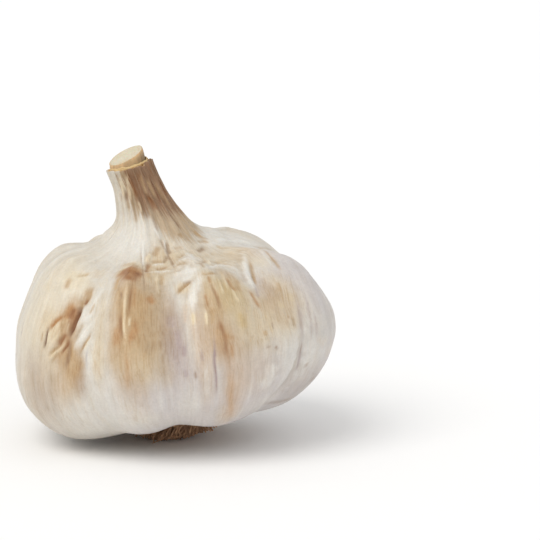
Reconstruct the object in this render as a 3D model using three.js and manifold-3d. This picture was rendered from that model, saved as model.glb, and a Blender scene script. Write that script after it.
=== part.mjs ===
// A garlic bulb as it stands on a table: cloves bulging under one papery skin, a bent neck with the cut
// end of its stem, and a pad of trimmed roots underneath. Millimetres, +Z up. The bulb leans a little on
// its root pad, whose lowest root ends are pressed level. The origin is the middle of that level spot.

import * as THREE from "three";
import { mergeVertices } from "three/addons/utils/BufferGeometryUtils.js";
import Module from "manifold-3d";

const wasm = await Module();
wasm.setup();

// Driving dimensions of the upright bulb, before it leans.
const EQUATOR_RADIUS = 29.6;
const BULB_HEIGHT = 53.6;
const NECK_RADIUS = 4.55;
const LEAN = 6;
const LEAN_TOWARDS = -168;

// Skin: its average outline from the middle of the root recess up to the rim of the neck, as
// [radius, height] at named stations.
const OUTLINE = {
  recessMiddle: [0, 8.2],
  recessEdge: [7.6, 7.9],
  recessWall: [10.4, 6.2],
  lip: [12.6, 4.6],
  sole: [16.8, 4.3],
  underside: [22.4, 6.0],
  lowerBelly: [26.9, 10.4],
  belly: [EQUATOR_RADIUS - 0.2, 16.4],
  equator: [EQUATOR_RADIUS, 22.4],
  upperBelly: [27.7, 28.6],
  shoulder: [24.4, 34],
  crown: [19.4, 36.9],
  dish: [13.5, 37.7],
  neckFoot: [9.2, 39.8],
  neckFlare: [6.2, 43.2],
  neckWaist: [4.7, 48],
  neckRim: [NECK_RADIUS, BULB_HEIGHT],
};
const STATION = Object.fromEntries(Object.keys(OUTLINE).map((name, index) => [name, index]));
const outline = new THREE.SplineCurve(Object.values(OUTLINE).map((point) => new THREE.Vector2(...point)));

// Cloves: the direction of each from the middle and of the valley after it, in degrees from +X, how far
// it bulges beyond the average, how far its shoulder stands out and rises, how far its underside sags,
// and how deep that valley is.
const CLOVES = [
  { turn: -150, valleyAt: -119, bulge: -1.2, out: -1.5, rise: 0.6, sag: 2.2, valley: 1.2 },
  { turn: -103, valleyAt: -86, bulge: 0.3, out: 0, rise: -1.2, sag: -0.4, valley: 1.0 },
  { turn: -66, valleyAt: -42, bulge: 1.5, out: 0, rise: -1.5, sag: 0.2, valley: 1.1 },
  { turn: -14, valleyAt: 14, bulge: 3.7, out: 0, rise: -2.4, sag: -0.3, valley: 0.9 },
  { turn: 38, valleyAt: 60, bulge: 2.9, out: 0, rise: -1.2, sag: -0.5, valley: 0.5 },
  { turn: 82, valleyAt: 103, bulge: 0.8, out: 0, rise: 0.4, sag: 0.4, valley: 1.2 },
  { turn: 125, valleyAt: 146, bulge: -0.2, out: -0.5, rise: 0, sag: 0.8, valley: 1.0 },
  { turn: 167, valleyAt: -172, bulge: -1.3, out: -1.5, rise: 0.8, sag: 1.7, valley: 0.6 },
];
const VALLEY_DEPTH = 2.6;
const VALLEY_SOFTNESS = 0.34;
const KEEL_HEIGHT = 0.9;
const KEEL_WIDTH = 0.13;

// Neck: the skin gathers in pleats there, stands off the middle from a station of the outline on, and
// bends over.
const PLEATS = 22;
const PLEAT_DEPTH = 0.3;
const BEND = 8;
const BEND_TOWARDS = -172;
const NECK_OFFSET = 1.5;
const OFFSET_FROM = 12.8;
const BEND_FROM = 39;
const BEND_LENGTH = 11;

// Cut end of the stem, standing in the neck.
const STEM_RADIUS = 3.1;
const COLLAR_RADIUS = 3.55;
const SOCKET_DEPTH = 3.4;
const SKIN_AT_RIM = 0.65;
const GAP = 0.3;
const COLLAR_ABOVE_RIM = 0.5;
const CUT_ABOVE_RIM = 1.8;
const CUT_SLOPE = 13;

// Root pad: a woody plate in the recess, and the trimmed roots that cover it.
const PLATE = [
  [0, 7.6],
  [7.2, 7.3],
  [9.3, 6.6],
  [8.9, 5.6],
  [5, 4.9],
  [0, 4.6],
];
const ROOTS = 110;
const ROOT_RADIUS = 0.7;
const ROOT_SPREAD = 8.2;
const ROOT_SPLAY = 20;
const ROOT_REACH_BELOW = 0.5;
const PAD_DOME = 3.2;
const HEEL_RADIUS = 2.1;

// Fineness of the skin.
const SIDES = 88;
const STEPS = 40;

const { degToRad, lerp, smoothstep, clamp } = THREE.MathUtils;
const UP = new THREE.Vector3(0, 0, 1);

function levelDirection(degrees) {
  return new THREE.Vector3(Math.cos(degToRad(degrees)), Math.sin(degToRad(degrees)), 0);
}

const towards = levelDirection(BEND_TOWARDS);

// A seeded source of numbers from 0 to 1, so that every build has the same roots.
function seededRandom(seed) {
  let state = seed;
  return () => {
    state = (Math.imul(state, 1664525) + 1013904223) >>> 0;
    return state / 4294967296;
  };
}

// 1 at the peak station and 0 from either end station on.
function swell(station, start, peak, end) {
  return smoothstep(station, start, peak) * (1 - smoothstep(station, peak, end));
}

// The two cloves that a direction lies between, and its share of the way from the first to the second,
// which is a half in their valley.
function betweenCloves(turn) {
  const ahead = (from, to) => THREE.MathUtils.euclideanModulo(to - from, 360);
  const degrees = THREE.MathUtils.radToDeg(turn);
  for (let i = 0; i < CLOVES.length; i++) {
    const from = CLOVES[i];
    const to = CLOVES[(i + 1) % CLOVES.length];
    const gap = ahead(from.turn, to.turn);
    const near = ahead(from.turn, from.valleyAt);
    const past = ahead(from.turn, degrees);
    if (past < near) return { from, to, share: past / near / 2 };
    if (past < gap) return { from, to, share: 0.5 + (past - near) / (gap - near) / 2 };
  }
}

// How far the skin stands out along its own normal from the average outline, in millimetres.
function relief(turn, station) {
  const { from, share } = betweenCloves(turn);
  const round = Math.hypot(Math.cos(Math.PI * share), VALLEY_SOFTNESS) / Math.hypot(1, VALLEY_SOFTNESS);
  const low = swell(station, STATION.recessWall, STATION.underside, STATION.equator);
  const high = swell(station, STATION.underside, STATION.shoulder, STATION.neckFoot);
  const depth = VALLEY_DEPTH * from.valley * (0.6 * low + high);
  const nearest = Math.min(share, 1 - share);
  const keel = KEEL_HEIGHT * Math.exp(-((nearest / KEEL_WIDTH) ** 2))
    * swell(station, STATION.equator, STATION.crown, STATION.neckFoot);
  const pleat = PLEAT_DEPTH * Math.cos(PLEATS * turn) * smoothstep(station, STATION.dish, STATION.neckWaist);
  return keel + pleat - depth * (1 - round);
}

// Bends a point of the upright bulb over with the neck: an arc from BEND_FROM up, and straight above it.
function bent(point) {
  const height = point.z - BEND_FROM;
  if (height <= 0) return point;
  const radius = BEND_LENGTH / degToRad(BEND);
  const angle = Math.min(height, BEND_LENGTH) / radius;
  const beyond = Math.max(0, height - BEND_LENGTH);
  const along = point.dot(towards);
  const shift = radius * (1 - Math.cos(angle)) + beyond * Math.sin(angle) + along * (Math.cos(angle) - 1);
  const level = radius * Math.sin(angle) + beyond * Math.cos(angle) - along * Math.sin(angle);
  return point.clone().addScaledVector(towards, shift).setZ(BEND_FROM + level);
}

// A point of the skin, in the upright bulb's frame before its neck is bent.
function skinPoint(turn, station) {
  const t = station / STATION.neckRim;
  const { x: radius, y: height } = outline.getPoint(t);
  const tangent = outline.getTangent(t);
  const { from, to, share } = betweenCloves(turn);
  const blend = smoothstep(share, 0, 1);
  const body = swell(station, STATION.recessWall, STATION.equator, STATION.dish);
  const top = swell(station, STATION.underside, STATION.crown, STATION.neckFlare);
  const bottom = swell(station, STATION.recessWall, STATION.lowerBelly, STATION.equator);
  const out = relief(turn, station) + bottom * lerp(from.sag, to.sag, blend);
  const atShoulder = swell(station, STATION.equator, STATION.shoulder, STATION.neckFoot);
  const r = radius + body * lerp(from.bulge, to.bulge, blend) + atShoulder * lerp(from.out, to.out, blend)
    + out * tangent.y;
  const z = height + top * lerp(from.rise, to.rise, blend) - out * tangent.x;
  const offset = NECK_OFFSET * smoothstep(station, OFFSET_FROM, STATION.neckRim);
  return new THREE.Vector3(r * Math.cos(turn), r * Math.sin(turn), z).addScaledVector(towards, offset);
}

// A closed body with its shared vertices merged, ready to cut or join.
function solid(geometry) {
  const bare = geometry.clone();
  bare.deleteAttribute("normal");
  bare.deleteAttribute("uv");
  const merged = mergeVertices(bare, 1e-4);
  return new wasm.Manifold(
    new wasm.Mesh({
      numProp: 3,
      vertProperties: merged.attributes.position.array,
      triVerts: new Uint32Array(merged.index.array),
    }),
  );
}

function geometryOf(body) {
  const { vertProperties, triVerts } = body.getMesh();
  const geometry = new THREE.BufferGeometry()
    .setAttribute("position", new THREE.BufferAttribute(vertProperties, 3))
    .setIndex(new THREE.BufferAttribute(triVerts, 1));
  geometry.computeVertexNormals();
  return geometry;
}

// Skin of the whole bulb: a lathed grid whose rows are moved to the stations of the skin, closed over the
// rim by the walls and the floor of the socket that the stem stands in.
function skinGeometry() {
  const stations = Array.from({ length: STEPS + 1 }, (_, i) => (i / STEPS) * STATION.neckRim);
  const socketRadius = NECK_RADIUS - SKIN_AT_RIM;
  const socket = [
    [socketRadius, BULB_HEIGHT],
    [socketRadius, BULB_HEIGHT - SOCKET_DEPTH],
    [0, BULB_HEIGHT - SOCKET_DEPTH],
  ].map((point) => new THREE.Vector2(...point));
  const rows = [...stations.map((station) => outline.getPoint(station / STATION.neckRim)), ...socket];
  const geometry = new THREE.LatheGeometry(rows, SIDES);
  const position = geometry.attributes.position;
  for (let i = 0; i < position.count; i++) {
    const turn = (Math.floor(i / rows.length) % SIDES) * ((2 * Math.PI) / SIDES) - Math.PI / 2;
    const row = i % rows.length;
    const { x: radius, y: height } = rows[row];
    const inSocket = new THREE.Vector3(radius * Math.cos(turn), radius * Math.sin(turn), height);
    const point = row < stations.length
      ? skinPoint(turn, stations[row])
      : inSocket.addScaledVector(towards, NECK_OFFSET);
    position.setXYZ(i, ...bent(point));
  }
  return geometryOf(solid(geometry));
}

// Stem: a round core with a collar of dried inner layers, cut across at a slope.
function stemGeometry() {
  const floor = BULB_HEIGHT - SOCKET_DEPTH + GAP;
  const profile = [
    [0, floor],
    [COLLAR_RADIUS, floor],
    [COLLAR_RADIUS, BULB_HEIGHT + COLLAR_ABOVE_RIM],
    [STEM_RADIUS, BULB_HEIGHT + COLLAR_ABOVE_RIM],
    [STEM_RADIUS, BULB_HEIGHT + 2 * CUT_ABOVE_RIM],
    [0, BULB_HEIGHT + 2 * CUT_ABOVE_RIM],
  ].map((point) => new THREE.Vector2(...point));
  const core = new THREE.LatheGeometry(profile, 32).rotateX(Math.PI / 2);
  const knife = new THREE.BoxGeometry(20, 20, 10)
    .translate(0, 0, 5)
    .rotateY(-degToRad(CUT_SLOPE))
    .translate(0, 0, BULB_HEIGHT + CUT_ABOVE_RIM);
  const geometry = geometryOf(solid(core).subtract(solid(knife)));
  const position = geometry.attributes.position;
  for (let i = 0; i < position.count; i++) {
    const point = new THREE.Vector3().fromBufferAttribute(position, i);
    position.setXYZ(i, ...bent(point.addScaledVector(towards, NECK_OFFSET)));
  }
  return geometry;
}

// One root: a four sided tapering stub from its foot, along a direction, with a bend in its middle.
function rootGeometry(foot, direction, length, sideways) {
  const geometry = new THREE.CylinderGeometry(ROOT_RADIUS * 0.8, ROOT_RADIUS, length, 4, 2);
  const position = geometry.attributes.position;
  for (let i = 0; i < position.count; i++) {
    const middle = 1 - (2 * Math.abs(position.getY(i))) / length;
    position.setX(i, position.getX(i) + sideways * middle);
  }
  const turned = new THREE.Quaternion().setFromUnitVectors(new THREE.Vector3(0, 1, 0), direction);
  return geometry.translate(0, length / 2, 0).applyQuaternion(turned).translate(...foot);
}

// Roots: spread evenly over the plate, pointing down in the middle and splayed at its edge.
function rootPadGeometry(floor) {
  const random = seededRandom(17);
  const plate = new THREE.LatheGeometry(PLATE.map((point) => new THREE.Vector2(...point)).reverse(), 24);
  const heelHeight = PLATE[5][1] + 2 * ROOT_REACH_BELOW;
  const heel = new THREE.CylinderGeometry(HEEL_RADIUS * 1.1, HEEL_RADIUS, heelHeight, 8)
    .rotateX(Math.PI / 2)
    .translate(0, 0, heelHeight / 2 - ROOT_REACH_BELOW);
  let pad = solid(plate.rotateX(Math.PI / 2)).add(solid(heel));
  const goldenAngle = Math.PI * (3 - Math.sqrt(5));
  for (let i = 0; i < ROOTS; i++) {
    const share = Math.sqrt((i + 0.5) / ROOTS);
    const turn = i * goldenAngle + 0.3 * (random() - 0.5);
    const splay = degToRad(clamp(ROOT_SPLAY * share + 26 * (random() - 0.5), 0, ROOT_SPLAY + 5));
    const veer = turn + 1.1 * (random() - 0.5);
    const direction = new THREE.Vector3(
      Math.sin(splay) * Math.cos(veer),
      Math.sin(splay) * Math.sin(veer),
      -Math.cos(splay),
    );
    const footHeight = 5.3 + 0.6 * share * share;
    const tipHeight = PAD_DOME * share ** 4 - ROOT_REACH_BELOW + 0.9 * (random() - 0.5) * share;
    const foot = new THREE.Vector3(
      ROOT_SPREAD * share * Math.cos(turn),
      ROOT_SPREAD * share * Math.sin(turn),
      footHeight,
    );
    const length = (footHeight - tipHeight) / Math.cos(splay) / 1.1;
    pad = pad.add(solid(rootGeometry(foot, direction, length, 0.5 * (random() - 0.5))));
  }
  return geometryOf(pad.subtract(solid(floor)));
}

const bulb = new THREE.Group();
bulb.quaternion.setFromAxisAngle(UP.clone().cross(levelDirection(LEAN_TOWARDS)), degToRad(LEAN));
bulb.updateMatrixWorld(true);

// The table that the roots are pressed level on, as a box in the leaning bulb's own frame.
const table = new THREE.BoxGeometry(80, 80, 20)
  .translate(0, 0, -10)
  .applyMatrix4(bulb.matrixWorld.clone().invert());

const papery = new THREE.MeshStandardMaterial({ color: 0xd9cfc4, roughness: 0.6, metalness: 0 });
const cutStem = new THREE.MeshStandardMaterial({ color: 0xdcccae, roughness: 0.75, metalness: 0 });
const roots = new THREE.MeshStandardMaterial({ color: 0xb08a5a, roughness: 0.85, metalness: 0 });

for (const [name, geometry, material] of [
  ["skin_and_cloves", skinGeometry(), papery],
  ["cut_stem", stemGeometry(), cutStem],
  ["root_pad", rootPadGeometry(table), roots],
]) {
  const mesh = new THREE.Mesh(geometry, material);
  mesh.name = name;
  bulb.add(mesh);
}

export default bulb;
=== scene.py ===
"""A garlic bulb on a pale floor: dense papery skin, trimmed roots and the cut stem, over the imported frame."""

import math

import bpy
import numpy as np
from mathutils import Matrix, Vector


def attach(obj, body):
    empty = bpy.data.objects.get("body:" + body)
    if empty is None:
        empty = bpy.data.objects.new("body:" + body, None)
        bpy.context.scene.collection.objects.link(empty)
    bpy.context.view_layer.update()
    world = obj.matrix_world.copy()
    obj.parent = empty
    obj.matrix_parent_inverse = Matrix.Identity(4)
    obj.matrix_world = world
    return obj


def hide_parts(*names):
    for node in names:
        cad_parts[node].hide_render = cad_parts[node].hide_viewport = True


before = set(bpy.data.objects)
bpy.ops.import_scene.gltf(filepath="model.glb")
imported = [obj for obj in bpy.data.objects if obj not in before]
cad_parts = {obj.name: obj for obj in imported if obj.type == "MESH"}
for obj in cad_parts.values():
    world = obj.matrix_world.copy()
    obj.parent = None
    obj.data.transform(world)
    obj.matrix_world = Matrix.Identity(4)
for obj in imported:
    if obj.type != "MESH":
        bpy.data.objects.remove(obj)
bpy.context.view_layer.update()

MM = 0.001

# The bulb's form in millimetres, upright before it leans: the values and formulas of the CAD solids.
OUTLINE = np.array([
    (0, 8.2), (7.6, 7.9), (10.4, 6.2), (12.6, 4.6), (16.8, 4.3), (22.4, 6.0), (26.9, 10.4), (29.4, 16.4),
    (29.6, 22.4), (27.7, 28.6), (24.4, 34), (19.4, 36.9), (13.5, 37.7), (9.2, 39.8), (6.2, 43.2),
    (4.7, 48), (4.55, 53.6),
])
(RECESS_MIDDLE, RECESS_EDGE, RECESS_WALL, LIP, SOLE, UNDERSIDE, LOWER_BELLY, BELLY, EQUATOR, UPPER_BELLY,
 SHOULDER, CROWN, DISH, NECK_FOOT, NECK_FLARE, NECK_WAIST, NECK_RIM) = range(17)
# turn, valley after it, bulge, shoulder out, shoulder rise, sag, valley depth
CLOVES = np.array([
    (-150, -119, -1.2, -1.5, 0.6, 2.2, 1.2),
    (-103, -86, 0.3, 0, -1.2, -0.4, 1.0),
    (-66, -42, 1.5, 0, -1.5, 0.2, 1.1),
    (-14, 14, 3.7, 0, -2.4, -0.3, 0.9),
    (38, 60, 2.9, 0, -1.2, -0.5, 0.5),
    (82, 103, 0.8, 0, 0.4, 0.4, 1.2),
    (125, 146, -0.2, -0.5, 0, 0.8, 1.0),
    (167, -172, -1.3, -1.5, 0.8, 1.7, 0.6),
])
VALLEY_DEPTH, VALLEY_SOFTNESS = 2.6, 0.34
KEEL_HEIGHT, KEEL_WIDTH = 0.9, 0.13
PLEATS, PLEAT_DEPTH = 22, 0.3
BEND, BEND_FROM, BEND_LENGTH = 8, 39, 11
NECK_OFFSET, OFFSET_FROM = 1.5, 12.8
LEAN = 6
RIM_HEIGHT = 53.6
SOCKET_RADIUS, SOCKET_FLOOR = 3.86, 51.8


def direction(degrees):
    return np.array([math.cos(math.radians(degrees)), math.sin(math.radians(degrees)), 0.0])


BEND_TOWARDS = direction(-172)
LEAN_TOWARDS = direction(-168)


def smoothstep(x, a, b):
    t = np.clip((x - a) / (b - a), 0, 1)
    return t * t * (3 - 2 * t)


def swell(s, start, peak, end):
    return smoothstep(s, start, peak) * (1 - smoothstep(s, peak, end))


def around(a, b):
    """Difference of two turns in degrees, from -180 to 180."""
    return (a - b + 180) % 360 - 180


# Seeded noise of points, from -1 to 1.
def lattice(i, seed):
    n = (i[..., 0] * 374761393 + i[..., 1] * 668265263 + i[..., 2] * 1274126177 + seed * 144665) & 0xFFFFFFFF
    n = ((n ^ (n >> 13)) * 1103515245) & 0xFFFFFFFF
    n = ((n ^ (n >> 15)) * 2246822519) & 0xFFFFFFFF
    return ((n ^ (n >> 16)) & 0xFFFF) / 32767.5 - 1


def noise(p, seed=0):
    i = np.floor(p).astype(np.int64)
    f = p - i
    u = f * f * (3 - 2 * f)
    total = 0
    for corner in range(8):
        step = np.array([corner & 1, corner >> 1 & 1, corner >> 2 & 1])
        weight = np.prod(np.where(step, u, 1 - u), axis=-1)
        total = total + weight * lattice(i + step, seed)
    return total


def fractal(p, octaves, seed=0, gain=0.5):
    total, size = 0, 1.0
    for k in range(octaves):
        total = total + size * noise(p * 2 ** k, seed + 17 * k)
        size *= gain
    return total


def ridged(p, octaves, seed=0):
    """Sharp ridges at 1 over round valleys near 0."""
    total, size = 0, 1.0
    for k in range(octaves):
        total = total + size * (1 - np.abs(noise(p * 2 ** k, seed + 31 * k)) * 2)
        size *= 0.5
    return total / 1.75


# The skin's formulas, as in the CAD solids.
def spline(control, s):
    """Points and directions of the curve through the control points, at parameter s."""
    last = len(control) - 1
    i = np.minimum(np.floor(s).astype(int), last - 1)
    w = (s - i)[..., None]
    p0, p1 = control[np.maximum(i - 1, 0)], control[i]
    p2, p3 = control[np.minimum(i + 1, last)], control[np.minimum(i + 2, last)]
    v0, v1 = (p2 - p0) / 2, (p3 - p1) / 2
    a, b = 2 * p1 - 2 * p2 + v0 + v1, 3 * p2 - 3 * p1 - 2 * v0 - v1
    slope = (3 * a * w + 2 * b) * w + v0
    return ((a * w + b) * w + v0) * w + p1, slope / np.linalg.norm(slope, axis=-1, keepdims=True)


def between_cloves(turn):
    degrees = np.degrees(turn)
    values, share = np.zeros(turn.shape + (2, 5)), np.zeros(turn.shape)
    for clove, after in zip(CLOVES, np.roll(CLOVES, -1, 0)):
        gap, near = (after[0] - clove[0]) % 360, (clove[1] - clove[0]) % 360
        past = (degrees - clove[0]) % 360
        here = past < gap
        share[here] = np.where(past < near, past / near / 2, 0.5 + (past - near) / (gap - near) / 2)[here]
        values[here] = np.stack([clove[2:], after[2:]])
    return values[..., 0, :], values[..., 1, :], share


def bent(p):
    height = p[..., 2] - BEND_FROM
    radius = BEND_LENGTH / math.radians(BEND)
    angle = np.clip(height, 0, BEND_LENGTH) / radius
    beyond = np.maximum(0, height - BEND_LENGTH)
    along = p @ BEND_TOWARDS
    shift = radius * (1 - np.cos(angle)) + beyond * np.sin(angle) + along * (np.cos(angle) - 1)
    q = p + BEND_TOWARDS * shift[..., None]
    q[..., 2] = BEND_FROM + radius * np.sin(angle) + beyond * np.cos(angle) - along * np.sin(angle)
    return np.where((height > 0)[..., None], q, p)


def leaned(p):
    axis = np.array([-LEAN_TOWARDS[1], LEAN_TOWARDS[0], 0])
    c, s = math.cos(math.radians(LEAN)), math.sin(math.radians(LEAN))
    return p * c + np.cross(axis, p) * s + axis * (p @ axis)[..., None] * (1 - c)


def skin_base(turn, s):
    """The skin's points in the upright bulb before its neck is bent, and each point's share between cloves."""
    point, tangent = spline(OUTLINE, s)
    first, second, share = between_cloves(turn)
    blend = smoothstep(share, 0, 1)[..., None]
    bulge, out, rise, sag, _ = np.moveaxis(first * (1 - blend) + second * blend, -1, 0)
    roundness = np.hypot(np.cos(np.pi * share), VALLEY_SOFTNESS) / math.hypot(1, VALLEY_SOFTNESS)
    low = swell(s, RECESS_WALL, UNDERSIDE, EQUATOR)
    high = swell(s, UNDERSIDE, SHOULDER, NECK_FOOT)
    depth = VALLEY_DEPTH * first[..., 4] * (0.6 * low + high)
    keel = KEEL_HEIGHT * np.exp(-((np.minimum(share, 1 - share) / KEEL_WIDTH) ** 2))
    pleat = PLEAT_DEPTH * np.cos(PLEATS * turn) * smoothstep(s, DISH, NECK_WAIST)
    relief = (keel * swell(s, EQUATOR, CROWN, NECK_FOOT) + pleat - depth * (1 - roundness)
              + sag * swell(s, RECESS_WALL, LOWER_BELLY, EQUATOR))
    r = (point[..., 0] + bulge * swell(s, RECESS_WALL, EQUATOR, DISH)
         + out * swell(s, EQUATOR, SHOULDER, NECK_FOOT) + relief * tangent[..., 1])
    z = point[..., 1] + rise * swell(s, UNDERSIDE, CROWN, NECK_FLARE) - relief * tangent[..., 0]
    p = np.stack([r * np.cos(turn), r * np.sin(turn), z], -1)
    p += NECK_OFFSET * smoothstep(s, OFFSET_FROM, NECK_RIM)[..., None] * BEND_TOWARDS
    return p, share


def grid_normals(p):
    n = np.cross(np.roll(p, -1, 1) - np.roll(p, 1, 1), np.gradient(p, axis=0))
    return n / np.maximum(np.linalg.norm(n, axis=-1, keepdims=True), 1e-9)


def blurred(field, reach):
    """A box blur of a grid that closes round along its second axis."""
    total = sum(np.roll(field, k, 1) for k in range(-reach, reach + 1)) / (2 * reach + 1)
    padded = np.pad(total, ((reach, reach), (0, 0)), mode="edge")
    return sum(padded[k:k + len(field)] for k in range(2 * reach + 1)) / (2 * reach + 1)


PAPER = (217, 210, 197)
TINTS = {
    "white": (229, 225, 216),
    "cream": (230, 214, 182),
    "lilac": (210, 203, 202),
    "grey": (194, 188, 184),
    "plum": (168, 148, 148),
    "sand": (212, 194, 164),
    "tan": (192, 162, 122),
    "olive": (184, 161, 130),
    "ochre": (204, 178, 128),
    "peach": (206, 178, 150),
    "rust": (184, 138, 90),
    "brown": (156, 108, 66),
    "bark": (116, 74, 42),
    "umber": (150, 118, 92),
}

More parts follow.
